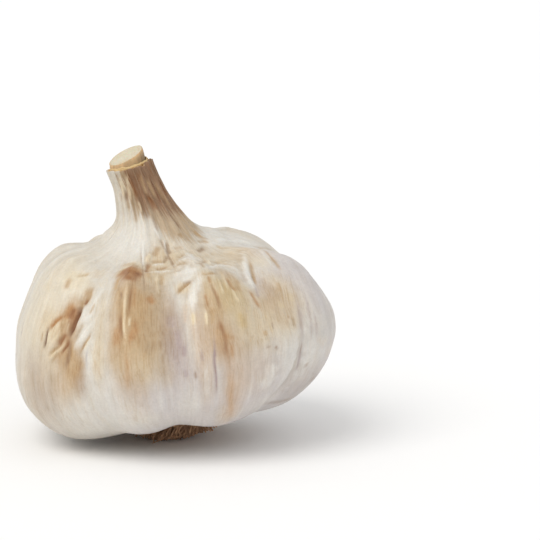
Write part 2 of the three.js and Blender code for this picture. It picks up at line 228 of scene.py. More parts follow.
# Folds and streaks: points as (turn, station), half widths in mm on their two sides, height in mm (below 0 a
# groove), tint and its strength. White and cream on raised folds are partly pale skin and partly painted
# highlights on their crests; the darker tints in grooves are partly stain and partly painted shade.
LINES = [
    # front left clove: the dent, the brown folds in it, partly stain and partly painted shade, and the pale
    # ones past it, with painted highlights on their crests
    ([(-124.2, 10.47), (-124.0, 10.12), (-124.2, 9.79), (-125.2, 9.60)], (0.8, 0.45), -0.25, "tan", 0.92),
    ([(-124.2, 9.87), (-124.8, 9.68), (-125.2, 9.60)], (0.42, 0.36), -0.15, "brown", 0.8),
    ([(-127.0, 9.77), (-126.5, 9.58), (-126.5, 9.45)], (0.5, 0.3), -0.15, "tan", 0.92),
    ([(-126.2, 9.58), (-126.8, 9.38), (-127.5, 9.19), (-128.0, 8.97), (-128.8, 8.75), (-129.2, 8.58)],
     (0.6, 0.34), -0.6, "bark", 1),
    ([(-128.5, 9.54), (-129.5, 9.30), (-130.0, 9.08), (-130.2, 8.88), (-130.5, 8.68)],
     (1.0, 0.9), -0.12, "brown", 0.75),
    ([(-131.2, 9.63), (-132.0, 9.36), (-133.0, 9.16), (-134.8, 9.06)], (0.84, 0.72), -0.12, "rust", 0.8),
    ([(-129.8, 9.46), (-131.0, 9.25), (-131.5, 9.07)], (0.6, 0.6), -0.15, "brown", 0.69),
    ([(-134.2, 9.19), (-137.2, 8.99), (-138.5, 8.84), (-139.5, 8.68)], (0.48, 0.36), -0.25, "rust", 0.98),
    ([(-134.2, 8.98), (-134.0, 8.81), (-133.8, 8.64)], (0.35, 0.3), -0.15, "tan", 1),
    ([(-131.8, 9.10), (-131.2, 8.90), (-131.0, 8.70), (-131.2, 8.50)], (0.3, 0.2), 0.18, "sand", 0.7),
    ([(-130.5, 8.73), (-132.0, 8.55), (-133.0, 8.40), (-133.5, 8.28)], (0.66, 0.48), -0.3, "brown", 1),
    ([(-129.2, 8.54), (-129.8, 8.33), (-130.8, 8.19), (-131.5, 8.09)], (0.34, 0.29), -0.3, "brown", 1),
    ([(-128.0, 8.55), (-128.0, 8.33), (-128.0, 8.11), (-128.5, 7.87), (-129.2, 7.61)],
     (0.55, 0.45), -0.16, "umber", 0.6),
    ([(-127.2, 8.40), (-126.8, 8.19), (-127.0, 7.97)], (0.5, 0.5), -0.05, "tan", 0.8),
    ([(-133.2, 8.28), (-135.0, 8.18), (-136.5, 8.04), (-137.2, 7.91)], (0.4, 0.3), -0.2, "tan", 0.86),
    ([(-130.5, 8.42), (-132.0, 8.23), (-134.5, 8.09), (-136.5, 7.95), (-137.8, 7.82)],
     (0.3, 0.25), 0.2, "cream", 0.7),
    ([(-135.2, 8.59), (-136.2, 8.45), (-137.2, 8.30)], (0.35, 0.3), 0.12, "cream", 0.5),
    ([(-132.8, 8.08), (-134.8, 7.91), (-136.8, 7.74)], (0.35, 0.3), -0.12, "tan", 0.57),
    ([(-140.8, 8.79), (-140.5, 8.59), (-140.5, 8.46), (-140.5, 8.30), (-140.8, 8.15)],
     (0.29, 0.24), -0.3, "bark", 0.8),
    ([(-139.2, 8.66), (-139.0, 8.48), (-139.0, 8.28)], (0.3, 0.3), 0.12, "cream", 0.5),
    ([(-143.0, 8.59), (-142.8, 8.44), (-142.5, 8.30)], (0.2, 0.2), -0.12, "tan", 0.69),
    ([(-123.5, 9.73), (-124.5, 9.47), (-125.2, 9.24), (-126.2, 8.99), (-126.8, 8.77)],
     (0.25, 0.8), 0.22, "white", 0.4),
    ([(-118.7, 10.14), (-119.7, 9.76), (-120.5, 9.50), (-121.2, 9.29), (-123.0, 9.08)],
     (0.4, 0.4), 0.2, "white", 0.5),
    ([(-119.3, 9.76), (-120.5, 9.50), (-121.5, 9.32)], (0.22, 0.22), -0.14, "tan", 0.57),
    ([(-118.5, 9.14), (-121.0, 8.89), (-123.0, 8.63), (-125.0, 8.41), (-126.0, 8.19)],
     (0.4, 0.45), 0.2, "white", 0.35),
    ([(-123.5, 9.06), (-125.0, 8.80), (-126.2, 8.58)], (0.4, 0.35), -0.12, "olive", 0.45),
    ([(-118.7, 8.85), (-119.7, 8.63), (-121.2, 8.45), (-122.2, 8.28), (-123.0, 8.10)],
     (0.3, 0.35), -0.2, "tan", 0.92),
    ([(-118.7, 8.67), (-120.2, 8.45), (-121.2, 8.23)], (0.3, 0.3), 0.15, "cream", 0.5),
    ([(-116.5, 9.03), (-116.0, 8.64), (-116.0, 8.23), (-115.8, 7.78), (-114.7, 7.18)],
     (1.1, 1.1), 0.15, "white", 0.15),
    ([(-121.8, 8.14), (-123.0, 7.84), (-125.2, 7.53), (-127.0, 7.31)], (1.1, 0.9), -0.1, "tan", 0.69),
    ([(-119.5, 8.31), (-119.7, 8.00), (-119.3, 7.67)], (0.22, 0.22), -0.1, "grey", 0.7),
    ([(-138.8, 10.39), (-138.2, 10.13), (-137.8, 9.91)], (0.6, 0.6), -0.08, "tan", 0.52),
    ([(-136.2, 10.56), (-132.8, 10.71), (-129.5, 10.96)], (0.4, 0.4), -0.1, "sand", 0.9),
    ([(-163.5, 8.8), (-163.2, 8.50), (-162.5, 8.2)], (0.3, 0.3), -0.15, "grey", 0.6),
    # front clove: the brown patch on its shoulder, the pale vein and the streaks beside it
    ([(-108.5, 10.87), (-108.5, 11.19), (-105.8, 11.31), (-101.5, 11.10), (-99.2, 11.18), (-96.2, 11.00)],
     (1.2, 1.3), 0, "rust", 0.8),
    ([(-115.5, 11.72), (-110.2, 11.89), (-101.8, 11.57), (-97.8, 11.46)], (0.6, 0.7), 0, "tan", 0.6),
    ([(-109.5, 11.24), (-105.0, 11.06), (-101.5, 10.89)], (0.8, 0.9), -0.05, "brown", 0.75),
    ([(-111.2, 11.54), (-104.0, 11.26), (-99.5, 11.32)], (0.7, 0.7), 0, "brown", 0.4),
    ([(-105.5, 10.78), (-102.2, 10.65), (-100.7, 10.74)], (0.8, 0.8), 0, "brown", 0.7),
    ([(-101.2, 10.82), (-99.2, 10.98), (-96.5, 11.23)], (0.75, 0.85), -0.05, "brown", 0.85),
    ([(-104.0, 10.87), (-103.0, 10.85)], (0.6, 0.6), 0, "bark", 0.5),
    ([(-99.2, 10.98), (-98.0, 11.09)], (0.5, 0.5), 0, "bark", 0.5),
    ([(-103.8, 10.61), (-101.0, 10.67), (-98.5, 10.79)], (0.7, 0.7), 0, "brown", 0.6),
    ([(-109.0, 10.95), (-108.0, 10.49), (-107.8, 10.14)], (0.6, 0.6), 0, "tan", 0.8),
    ([(-102.2, 10.39), (-102.0, 10.05), (-102.2, 9.73), (-102.5, 9.43), (-102.8, 9.15), (-102.5, 8.88),
     (-102.2, 8.68), (-102.0, 8.42)], (0.33, 0.33), 0.28, "cream", 0.65),
    ([(-106.5, 10.44), (-105.2, 10.04), (-104.8, 9.74), (-104.5, 9.47)], (0.28, 0.28), -0.12, "tan", 0.7),
    ([(-104.5, 10.11), (-104.0, 9.83)], (0.22, 0.22), -0.1, "umber", 0.5),
    ([(-103.8, 9.47), (-103.8, 9.17), (-103.5, 8.89), (-103.2, 8.66)], (0.5, 0.25), -0.15, "brown", 0.6),
    ([(-105.2, 9.07), (-105.8, 8.77), (-105.2, 8.46)], (0.9, 0.8), 0, "rust", 0.5),
    ([(-100.7, 10.51), (-100.2, 10.14), (-100.5, 9.86), (-100.7, 9.58), (-101.2, 9.26)],
     (0.5, 0.4), -0.1, "brown", 0.45),
    ([(-99.2, 10.47), (-98.8, 9.95), (-99.0, 9.56)], (0.4, 0.4), 0, "rust", 0.4),
    ([(-100.5, 9.32), (-100.7, 9.02)], (0.2, 0.2), 0.1, "cream", 0.8),
    ([(-98.8, 9.23), (-98.8, 8.99), (-99.8, 8.76), (-101.2, 8.53)], (0.7, 0.7), 0, "rust", 0.7),
    ([(-93.5, 10.07), (-92.0, 9.92), (-92.8, 9.76)], (0.7, 0.6), -0.08, "rust", 0.8),
    ([(-97.0, 10.22), (-96.0, 9.85), (-96.0, 9.45)], (0.3, 0.3), -0.04, "tan", 0.7),
    ([(-102.5, 8.33), (-102.2, 7.97), (-102.5, 7.56), (-103.5, 6.96)], (0.5, 0.5), 0, "rust", 0.45),
    ([(-101.8, 12.82), (-99.5, 12.19), (-97.2, 11.67), (-95.5, 10.97), (-94.8, 10.51), (-94.8, 10.13)],
     (0.16, 0.16), -0.1, "umber", 0.6),
    ([(-99.8, 13.25), (-99.2, 12.55), (-97.2, 11.68)], (0.22, 0.28), 0.15, "white", 0.9),
    ([(-92.8, 12.03), (-94.0, 11.70), (-94.5, 11.28)], (0.5, 0.42), -0.22, "brown", 0.7),
    ([(-91.7, 11.93), (-92.8, 11.41), (-93.0, 10.92)], (0.4, 0.4), 0, "tan", 0.7),
    # crumpled skin above the front cloves, with painted shade in its grooves and painted highlights on its crests
    ([(-83.0, 12.86), (-86.0, 12.64), (-89.5, 12.35)], (0.65, 0.59), -0.24, "tan", 0.5),
    ([(-91.2, 12.56), (-94.0, 12.30), (-95.5, 12.01)], (0.4, 0.4), 0.2, "cream", 0.6),
    ([(-92.5, 12.08), (-86.5, 12.13), (-81.7, 12.07)], (0.49, 0.49), -0.17, "tan", 0.37),
    ([(-91.7, 11.86), (-86.2, 11.95), (-81.0, 11.89)], (0.3, 0.3), 0.18, "white", 0.6),
    ([(-76.5, 12.37), (-79.2, 12.13), (-82.7, 12.02)], (0.45, 0.45), -0.24, "umber", 0.43),
    ([(-89.5, 11.67), (-84.8, 11.71), (-79.8, 11.70)], (0.39, 0.39), -0.2, "rust", 0.43),
    ([(-94.5, 11.32), (-89.0, 11.48), (-82.7, 11.46), (-77.8, 11.26)], (0.22, 0.22), 0.2, "white", 0.8),
    ([(-84.8, 11.38), (-86.2, 11.00), (-86.8, 10.67)], (0.39, 0.39), -0.13, "tan", 0.43),
    ([(-88.0, 11.32), (-88.5, 10.66), (-88.2, 10.21)], (0.35, 0.3), 0.1, "cream", 0.35),
    ([(-84.2, 13.70), (-80.5, 13.36), (-78.0, 13.08)], (0.2, 0.2), 0.15, "white", 0.5),
    ([(-79.8, 13.31), (-77.2, 12.88), (-75.8, 12.37), (-75.5, 11.89), (-76.8, 11.36)],
     (0.26, 0.22), -0.17, "umber", 0.53),
    ([(-72.0, 13.05), (-73.5, 12.66), (-74.0, 12.39)], (0.43, 0.33), -0.28, "umber", 0.5),
    ([(-73.7, 13.12), (-76.2, 12.73), (-76.8, 12.21)], (0.22, 0.22), 0.18, "white", 0.5),
    ([(-68.2, 12.54), (-63.3, 12.60), (-57.5, 12.59)], (0.52, 0.52), -0.13, "tan", 0.31),
    ([(-70.2, 12.04), (-67.2, 11.99), (-62.0, 12.21)], (0.45, 0.45), -0.17, "tan", 0.37),
    ([(-73.7, 11.70), (-71.2, 11.55), (-69.0, 11.40)], (0.39, 0.39), -0.17, "tan", 0.34),
    ([(-71.0, 11.85), (-68.5, 11.68), (-64.7, 11.68)], (0.35, 0.35), 0.15, "white", 0.5),
    ([(-58.8, 12.29), (-60.2, 11.91), (-68.0, 11.09)], (0.9, 0.9), 0.15, "white", 0.7),
    ([(-74.0, 10.97), (-70.5, 10.89), (-68.2, 10.69)], (0.8, 0.8), 0.15, "white", 0.6),
    ([(-50.0, 13.26), (-50.5, 13.04)], (0.52, 0.52), -0.17, "tan", 0.4),
    ([(-20.8, 13.23), (-19.2, 13.03), (-16.5, 12.78), (-13.0, 12.55)], (0.52, 0.45), -0.17, "tan", 0.56),
    ([(-31.5, 12.42), (-38.8, 12.37), (-45.8, 12.32)], (0.42, 0.45), -0.24, "umber", 0.5),
    ([(-34.8, 12.77), (-24.2, 12.65), (-18.0, 12.50)], (0.42, 0.42), -0.13, "tan", 0.43),
    ([(-46.2, 11.98), (-61.0, 11.17), (-63.5, 10.75)], (0.52, 0.52), -0.17, "tan", 0.43),
    ([(-44.7, 11.86), (-57.2, 11.15)], (0.3, 0.3), 0.12, "cream", 0.6),
    ([(-19.2, 12.23), (-18.0, 11.98), (-15.2, 11.71)], (0.45, 0.45), -0.13, "sand", 0.56),
    ([(-33.2, 12.12), (-32.8, 11.93)], (0.65, 0.65), -0.11, "sand", 0.56),
    ([(-45.8, 11.63), (-39.5, 11.57), (-33.0, 11.49)], (0.52, 0.52), -0.11, "sand", 0.5),
    ([(-9.5, 12.37), (4.0, 12.05), (14.0, 11.5), (20.0, 10.8)], (0.55, 0.6), 0.18, "white", 0.6),
    ([(-20.0, 11.50), (-18.0, 11.36), (-16.5, 11.17)], (0.29, 0.29), -0.08, "tan", 0.25),
    ([(12.0, 11.1), (17.0, 10.7), (21.0, 10.2)], (0.39, 0.36), -0.11, "tan", 0.4),
    # front right clove: its edge, the ochre streaks and the red and pink ones below
    ([(-72.7, 10.47), (-75.2, 10.39), (-78.0, 10.29), (-80.5, 10.13)], (0.45, 0.4), -0.35, "tan", 0.9),
    ([(-76.8, 10.51), (-74.8, 10.51), (-72.5, 10.44)], (0.25, 0.25), -0.15, "umber", 0.4),
    ([(-67.0, 10.65), (-60.7, 10.84), (-49.7, 11.22), (-41.5, 11.27), (-39.7, 11.06), (-40.5, 10.73)],
     (0.4, 0.5), 0.14, "white", 0.5),
    ([(-68.2, 10.56), (-71.0, 10.23), (-73.0, 9.95), (-75.2, 9.64), (-76.5, 9.28)],
     (0.9, 0.8), 0.22, "white", 0.7),
    ([(-76.0, 9.33), (-77.0, 8.94)], (0.5, 0.5), 0.08, "cream", 0.8),
    ([(-78.0, 9.69), (-79.0, 9.34), (-80.0, 9.02)], (0.4, 0.4), 0, "peach", 0.5),
    ([(-67.0, 10.57), (-65.5, 10.44), (-61.8, 10.51), (-57.5, 10.58)], (0.35, 0.4), -0.1, "tan", 0.7),
    ([(-65.8, 10.14), (-66.0, 9.90), (-65.8, 9.67), (-65.8, 9.42), (-65.8, 9.21)],
     (0.42, 0.35), -0.12, "brown", 0.45),
    ([(-65.0, 10.39), (-66.2, 10.08)], (0.3, 0.3), -0.1, "rust", 0.6),
    ([(-60.7, 10.32), (-61.8, 9.95), (-62.7, 9.67)], (0.26, 0.26), 0.12, "cream", 0.6),
    ([(-54.3, 10.70), (-57.7, 10.17), (-59.3, 9.79)], (0.3, 0.3), 0.12, "cream", 0.6),
    ([(-54.8, 10.40), (-56.0, 10.00), (-55.5, 9.72)], (0.55, 0.5), -0.12, "rust", 0.7),
    ([(-48.7, 10.36), (-52.3, 9.96), (-53.2, 9.68)], (0.7, 0.5), -0.1, "tan", 0.6),
    ([(-57.0, 9.87), (-57.2, 9.59), (-56.8, 9.36)], (0.26, 0.26), 0.1, "cream", 0.7),
    ([(-69.8, 9.81), (-70.0, 9.59), (-70.0, 9.38)], (0.3, 0.25), -0.1, "rust", 0.7),
    ([(-71.5, 9.29), (-72.0, 9.07), (-72.5, 8.86)], (0.25, 0.25), 0.08, "cream", 0.9),
    ([(-69.0, 9.42), (-69.5, 9.12), (-70.8, 8.84)], (0.4, 0.4), -0.04, "tan", 0.6),
    ([(-58.8, 9.11), (-58.5, 8.83), (-59.5, 8.53)], (0.9, 0.8), 0, "ochre", 0.7),
    ([(-67.5, 9.06), (-67.5, 8.83), (-67.2, 8.55), (-67.2, 8.28), (-67.5, 8.01), (-67.2, 7.69)],
     (0.42, 0.35), -0.08, "brown", 0.6),
    ([(-65.2, 8.23), (-65.5, 7.98), (-65.8, 7.75)], (0.32, 0.3), -0.04, "rust", 0.5),
    ([(-68.0, 8.54), (-65.8, 8.41), (-63.0, 8.37)], (0.5, 0.5), 0, "rust", 0.4),
    ([(-70.8, 8.52), (-71.5, 8.10), (-72.2, 7.73), (-72.2, 7.33), (-72.2, 6.91), (-72.0, 6.54)],
     (0.27, 0.22), -0.05, "plum", 0.8),
    ([(-76.0, 8.17), (-76.2, 7.78)], (0.25, 0.25), 0, "plum", 0.5),
    ([(-66.8, 7.57), (-67.2, 7.12), (-66.5, 6.63), (-66.0, 6.12), (-63.8, 5.35)],
     (1.0, 0.8), 0, "peach", 0.7),
    ([(-66.8, 7.04), (-66.2, 6.52), (-65.5, 5.94), (-63.0, 5.26)], (0.4, 0.4), 0, "rust", 0.2),
    ([(-79.0, 7.51), (-78.8, 7.22)], (0.2, 0.2), -0.05, "umber", 0.6),
    ([(-81.5, 8.41), (-82.2, 8.00)], (0.45, 0.45), 0, "plum", 0.6),
    ([(-82.5, 7.60), (-82.0, 7.31)], (0.5, 0.5), 0, "plum", 0.5),
    ([(-83.2, 8.93), (-83.2, 8.52), (-83.0, 8.18)], (0.7, 0.7), 0, "plum", 0.45),
    ([(-84.8, 9.36), (-85.0, 8.94)], (1.0, 0.9), 0, "plum", 0.3),
    ([(-74.8, 7.77), (-75.8, 7.16), (-75.0, 6.46)], (0.5, 0.5), 0.05, "white", 0.5),
    ([(-47.8, 9.79), (-48.0, 9.55), (-48.0, 9.30), (-47.8, 9.08)], (0.45, 0.4), -0.12, "rust", 0.7),
    ([(-47.5, 8.98), (-47.5, 8.58), (-48.0, 8.24)], (0.4, 0.4), 0, "sand", 0.8),
    # right clove: the fold on its shoulder, with a painted highlight on its crest and painted shade in the groove
    # below, spots, and the valley before it, greyed with painted shade
    ([(-18.5, 11.32), (-28.7, 11.06), (-35.5, 10.74), (-40.5, 10.35), (-43.0, 9.98), (-44.0, 9.73)],
     (0.55, 0.45), 0.35, "white", 0.9),
    ([(-27.0, 10.95), (-32.3, 10.71), (-37.2, 10.36), (-41.5, 9.95)], (0.24, 0.36), -0.22, "tan", 0.7),
    ([(-42.5, 9.91), (-44.2, 9.65), (-46.0, 9.43)], (0.3, 0.3), -0.06, "plum", 0.4),
    ([(-13.0, 10.85), (-17.5, 10.62), (-21.0, 10.31), (-23.8, 10.04)], (0.3, 0.3), -0.12, "tan", 0.6),
    ([(-14.3, 10.96), (-20.0, 10.67), (-23.8, 10.34)], (0.25, 0.25), 0.12, "white", 0.4),
    ([(12.0, 11.2), (6.0, 10.7), (-2.0, 10.3), (-10.0, 10.05)], (0.4, 0.6), 0.12, "white", 0.5),
    ([(-30.7, 9.79), (-34.3, 9.47)], (0.5, 0.5), 0, "tan", 0.5),
    ([(-30.5, 9.34), (-31.5, 9.01)], (0.7, 0.6), 0, "sand", 0.9),
    ([(-38.0, 9.16), (-36.5, 8.94)], (0.7, 0.6), 0, "sand", 0.8),
    ([(-50.5, 8.41), (-51.0, 8.19)], (0.5, 0.55), 0, "tan", 0.6),
    ([(-46.2, 8.59), (-47.0, 8.37)], (0.25, 0.25), -0.05, "umber", 0.5),
    ([(-37.5, 8.68), (-37.7, 8.57)], (0.22, 0.22), 0, "brown", 0.6),
    ([(-36.0, 8.61), (-36.5, 8.45), (-37.5, 8.27)], (0.45, 0.4), -0.05, "olive", 0.85),
    ([(-52.5, 7.88), (-50.0, 7.84)], (0.2, 0.2), 0, "umber", 0.4),
    ([(-48.5, 7.83), (-47.2, 7.71)], (0.26, 0.22), 0, "umber", 0.6),
    ([(-28.5, 9.14), (-31.0, 8.73), (-33.5, 8.28), (-35.0, 7.78)], (0.5, 0.45), -0.04, "plum", 0.35),
    ([(-23.8, 9.12), (-27.0, 8.64), (-29.2, 8.14), (-31.0, 7.61)], (0.4, 0.45), -0.04, "plum", 0.3),
    ([(-25.0, 8.55), (-26.7, 8.11), (-28.2, 7.61)], (0.4, 0.45), -0.02, "plum", 0.3),
    ([(-35.2, 7.74), (-36.2, 7.25), (-36.5, 6.89), (-36.5, 6.63)], (0.28, 0.25), -0.05, "plum", 0.8),
    ([(-33.7, 6.77), (-31.0, 6.78)], (0.3, 0.25), 0, "umber", 0.4),
    ([(-22.2, 6.15), (-21.0, 5.92)], (0.45, 0.4), 0, "umber", 0.5),
    ([(-13.0, 6.19), (-20.5, 6.07)], (0.4, 0.4), 0, "umber", 0.35),
    # painted shade down the valley before the right clove
    ([(-35.2, 8.14), (-36.0, 7.73), (-37.5, 7.31), (-38.8, 6.86), (-40.0, 6.41), (-42.7, 6.03),
     (-46.5, 5.65)], (0.9, 1.9), -0.45, "grey", 0.25),
    ([(-47.8, 5.59), (-38.2, 5.30), (-29.0, 5.22), (-22.2, 5.39)], (0.5, 0.5), -0.04, "umber", 0.4),
    ([(-49.7, 7.30), (-51.2, 6.87), (-52.8, 6.38)], (1.6, 1.6), 0.3, "white", 0.4),
    # furrows of the neck
    ([(-126.8, 15.92), (-129.5, 15.56), (-132.0, 15.28), (-142.0, 14.98)], (0.3, 0.28), -0.22, "tan", 0.9),
    ([(-119.3, 15.77), (-125.2, 15.43), (-127.0, 15.10)], (0.35, 0.4), 0.2, "cream", 0.6),
    ([(-112.8, 15.81), (-114.2, 15.50), (-119.7, 15.21), (-122.8, 14.85)],
     (0.36, 0.3), -0.3, "brown", 0.85),
    ([(-99.2, 15.90), (-106.2, 15.52), (-109.5, 15.22), (-111.2, 14.91)], (0.24, 0.24), 0.22, "sand", 0.8),
    ([(-93.2, 15.84), (-94.5, 15.53), (-94.8, 15.29), (-95.5, 14.99)], (0.5, 0.36), -0.32, "brown", 0.9),
    ([(-94.5, 15.70), (-94.8, 15.47), (-95.0, 15.22)], (0.25, 0.22), -0.1, "bark", 0.7),
    ([(-73.2, 15.79), (-76.0, 15.47), (-79.8, 15.19), (-81.7, 14.90)], (0.28, 0.28), -0.18, "brown", 0.5),
    ([(-71.0, 15.68), (-71.8, 15.34), (-71.8, 14.98)], (0.25, 0.25), 0.14, "tan", 0.5),
    ([(-52.3, 15.55), (-51.2, 15.33), (-50.5, 15.06), (-50.8, 14.80), (-52.3, 14.49)],
     (0.24, 0.24), -0.24, "bark", 0.6),
    ([(-59.0, 15.47), (-57.0, 15.16), (-55.5, 14.80)], (0.3, 0.3), 0.14, "tan", 0.6),
    ([(-76.2, 15.10), (-71.0, 14.82), (-68.0, 14.53), (-66.2, 14.35)], (0.35, 0.35), -0.18, "brown", 0.6),
    ([(-19.7, 15.30), (-17.7, 14.99), (-18.5, 14.68)], (0.3, 0.3), -0.15, "brown", 0.6),
    ([(-39.7, 15.34), (-37.2, 15.04), (-35.5, 14.68), (-32.8, 14.29)], (0.3, 0.3), 0.12, "tan", 0.4),
    ([(-107.8, 15.06), (-109.0, 14.68), (-110.0, 14.28), (-110.8, 13.98)],
     (0.6, 0.45), -0.1, "olive", 0.7),
    ([(-123.0, 14.93), (-124.5, 14.58)], (0.28, 0.28), -0.08, "tan", 0.5),
    ([(-95.0, 14.90), (-95.8, 14.60), (-96.8, 14.40)], (0.24, 0.24), 0.1, "sand", 0.8),
    ([(-86.5, 14.66), (-86.5, 14.37), (-87.5, 14.14)], (0.4, 0.36), -0.08, "umber", 0.6),
    ([(-78.2, 14.33), (-80.0, 13.91), (-78.2, 13.45)], (0.3, 0.3), -0.08, "umber", 0.4),
    ([(-49.5, 14.31), (-44.2, 13.85), (-41.3, 13.39)], (0.5, 0.5), -0.1, "umber", 0.6),
    ([(-32.8, 14.29), (-24.7, 13.85), (-27.2, 13.43)], (0.5, 0.5), 0.08, "tan", 0.5),
    # the back of the bulb
    ([(35.0, 11.8), (44.0, 10.6), (49.0, 9.6)], (0.5, 0.6), 0.3, "white", 0.6),
    ([(71.0, 11.9), (73.0, 10.9), (74.0, 9.9)], (0.45, 0.5), 0.25, "white", 0.6),
    ([(96.0, 12.1), (97.5, 10.9), (99.0, 9.6)], (0.5, 0.35), -0.25, "tan", 0.6),
    ([(112.0, 11.8), (118.0, 11.2), (126.0, 11.2)], (0.4, 0.5), 0.25, "cream", 0.6),
    ([(136.0, 11.9), (133.0, 10.6), (134.0, 9.0)], (0.4, 0.6), 0.25, "white", 0.5),
    ([(158.0, 11.9), (160.0, 10.8), (158.0, 9.7)], (0.4, 0.6), 0.25, "white", 0.5),
    ([(84.0, 10.2), (85.0, 9.2), (84.0, 8.2)], (0.3, 0.35), 0.2, "cream", 0.8),
    ([(86.0, 10.0), (87.0, 9.0), (86.0, 8.2)], (0.5, 0.5), -0.1, "rust", 0.6),
    ([(78.0, 9.6), (78.0, 8.8), (77.0, 7.8)], (0.6, 0.6), 0, "rust", 0.5),
    ([(40.0, 9.4), (41.0, 8.4), (40.0, 7.2)], (0.5, 0.5), 0, "peach", 0.6),
    ([(128.0, 9.8), (127.0, 8.8), (127.5, 8.0)], (0.6, 0.5), -0.08, "rust", 0.5),
    ([(70.0, 10.6), (76.0, 10.9), (84.0, 11.0), (90.0, 10.8)], (0.7, 0.8), 0, "rust", 0.6),
    ([(5.0, 15.9), (3.0, 15.2), (4.0, 14.3)], (0.3, 0.3), -0.2, "bark", 0.5),
    ([(42.0, 15.9), (44.0, 15.3), (42.0, 14.5)], (0.3, 0.3), -0.2, "brown", 0.5),
    ([(88.0, 15.9), (86.0, 15.1), (88.0, 14.2)], (0.3, 0.3), -0.2, "bark", 0.5),
    ([(130.0, 15.9), (128.0, 15.2), (131.0, 14.6)], (0.3, 0.3), -0.2, "brown", 0.5),
    ([(164.0, 15.9), (166.0, 15.3), (163.0, 14.8)], (0.3, 0.3), -0.2, "umber", 0.6),
]

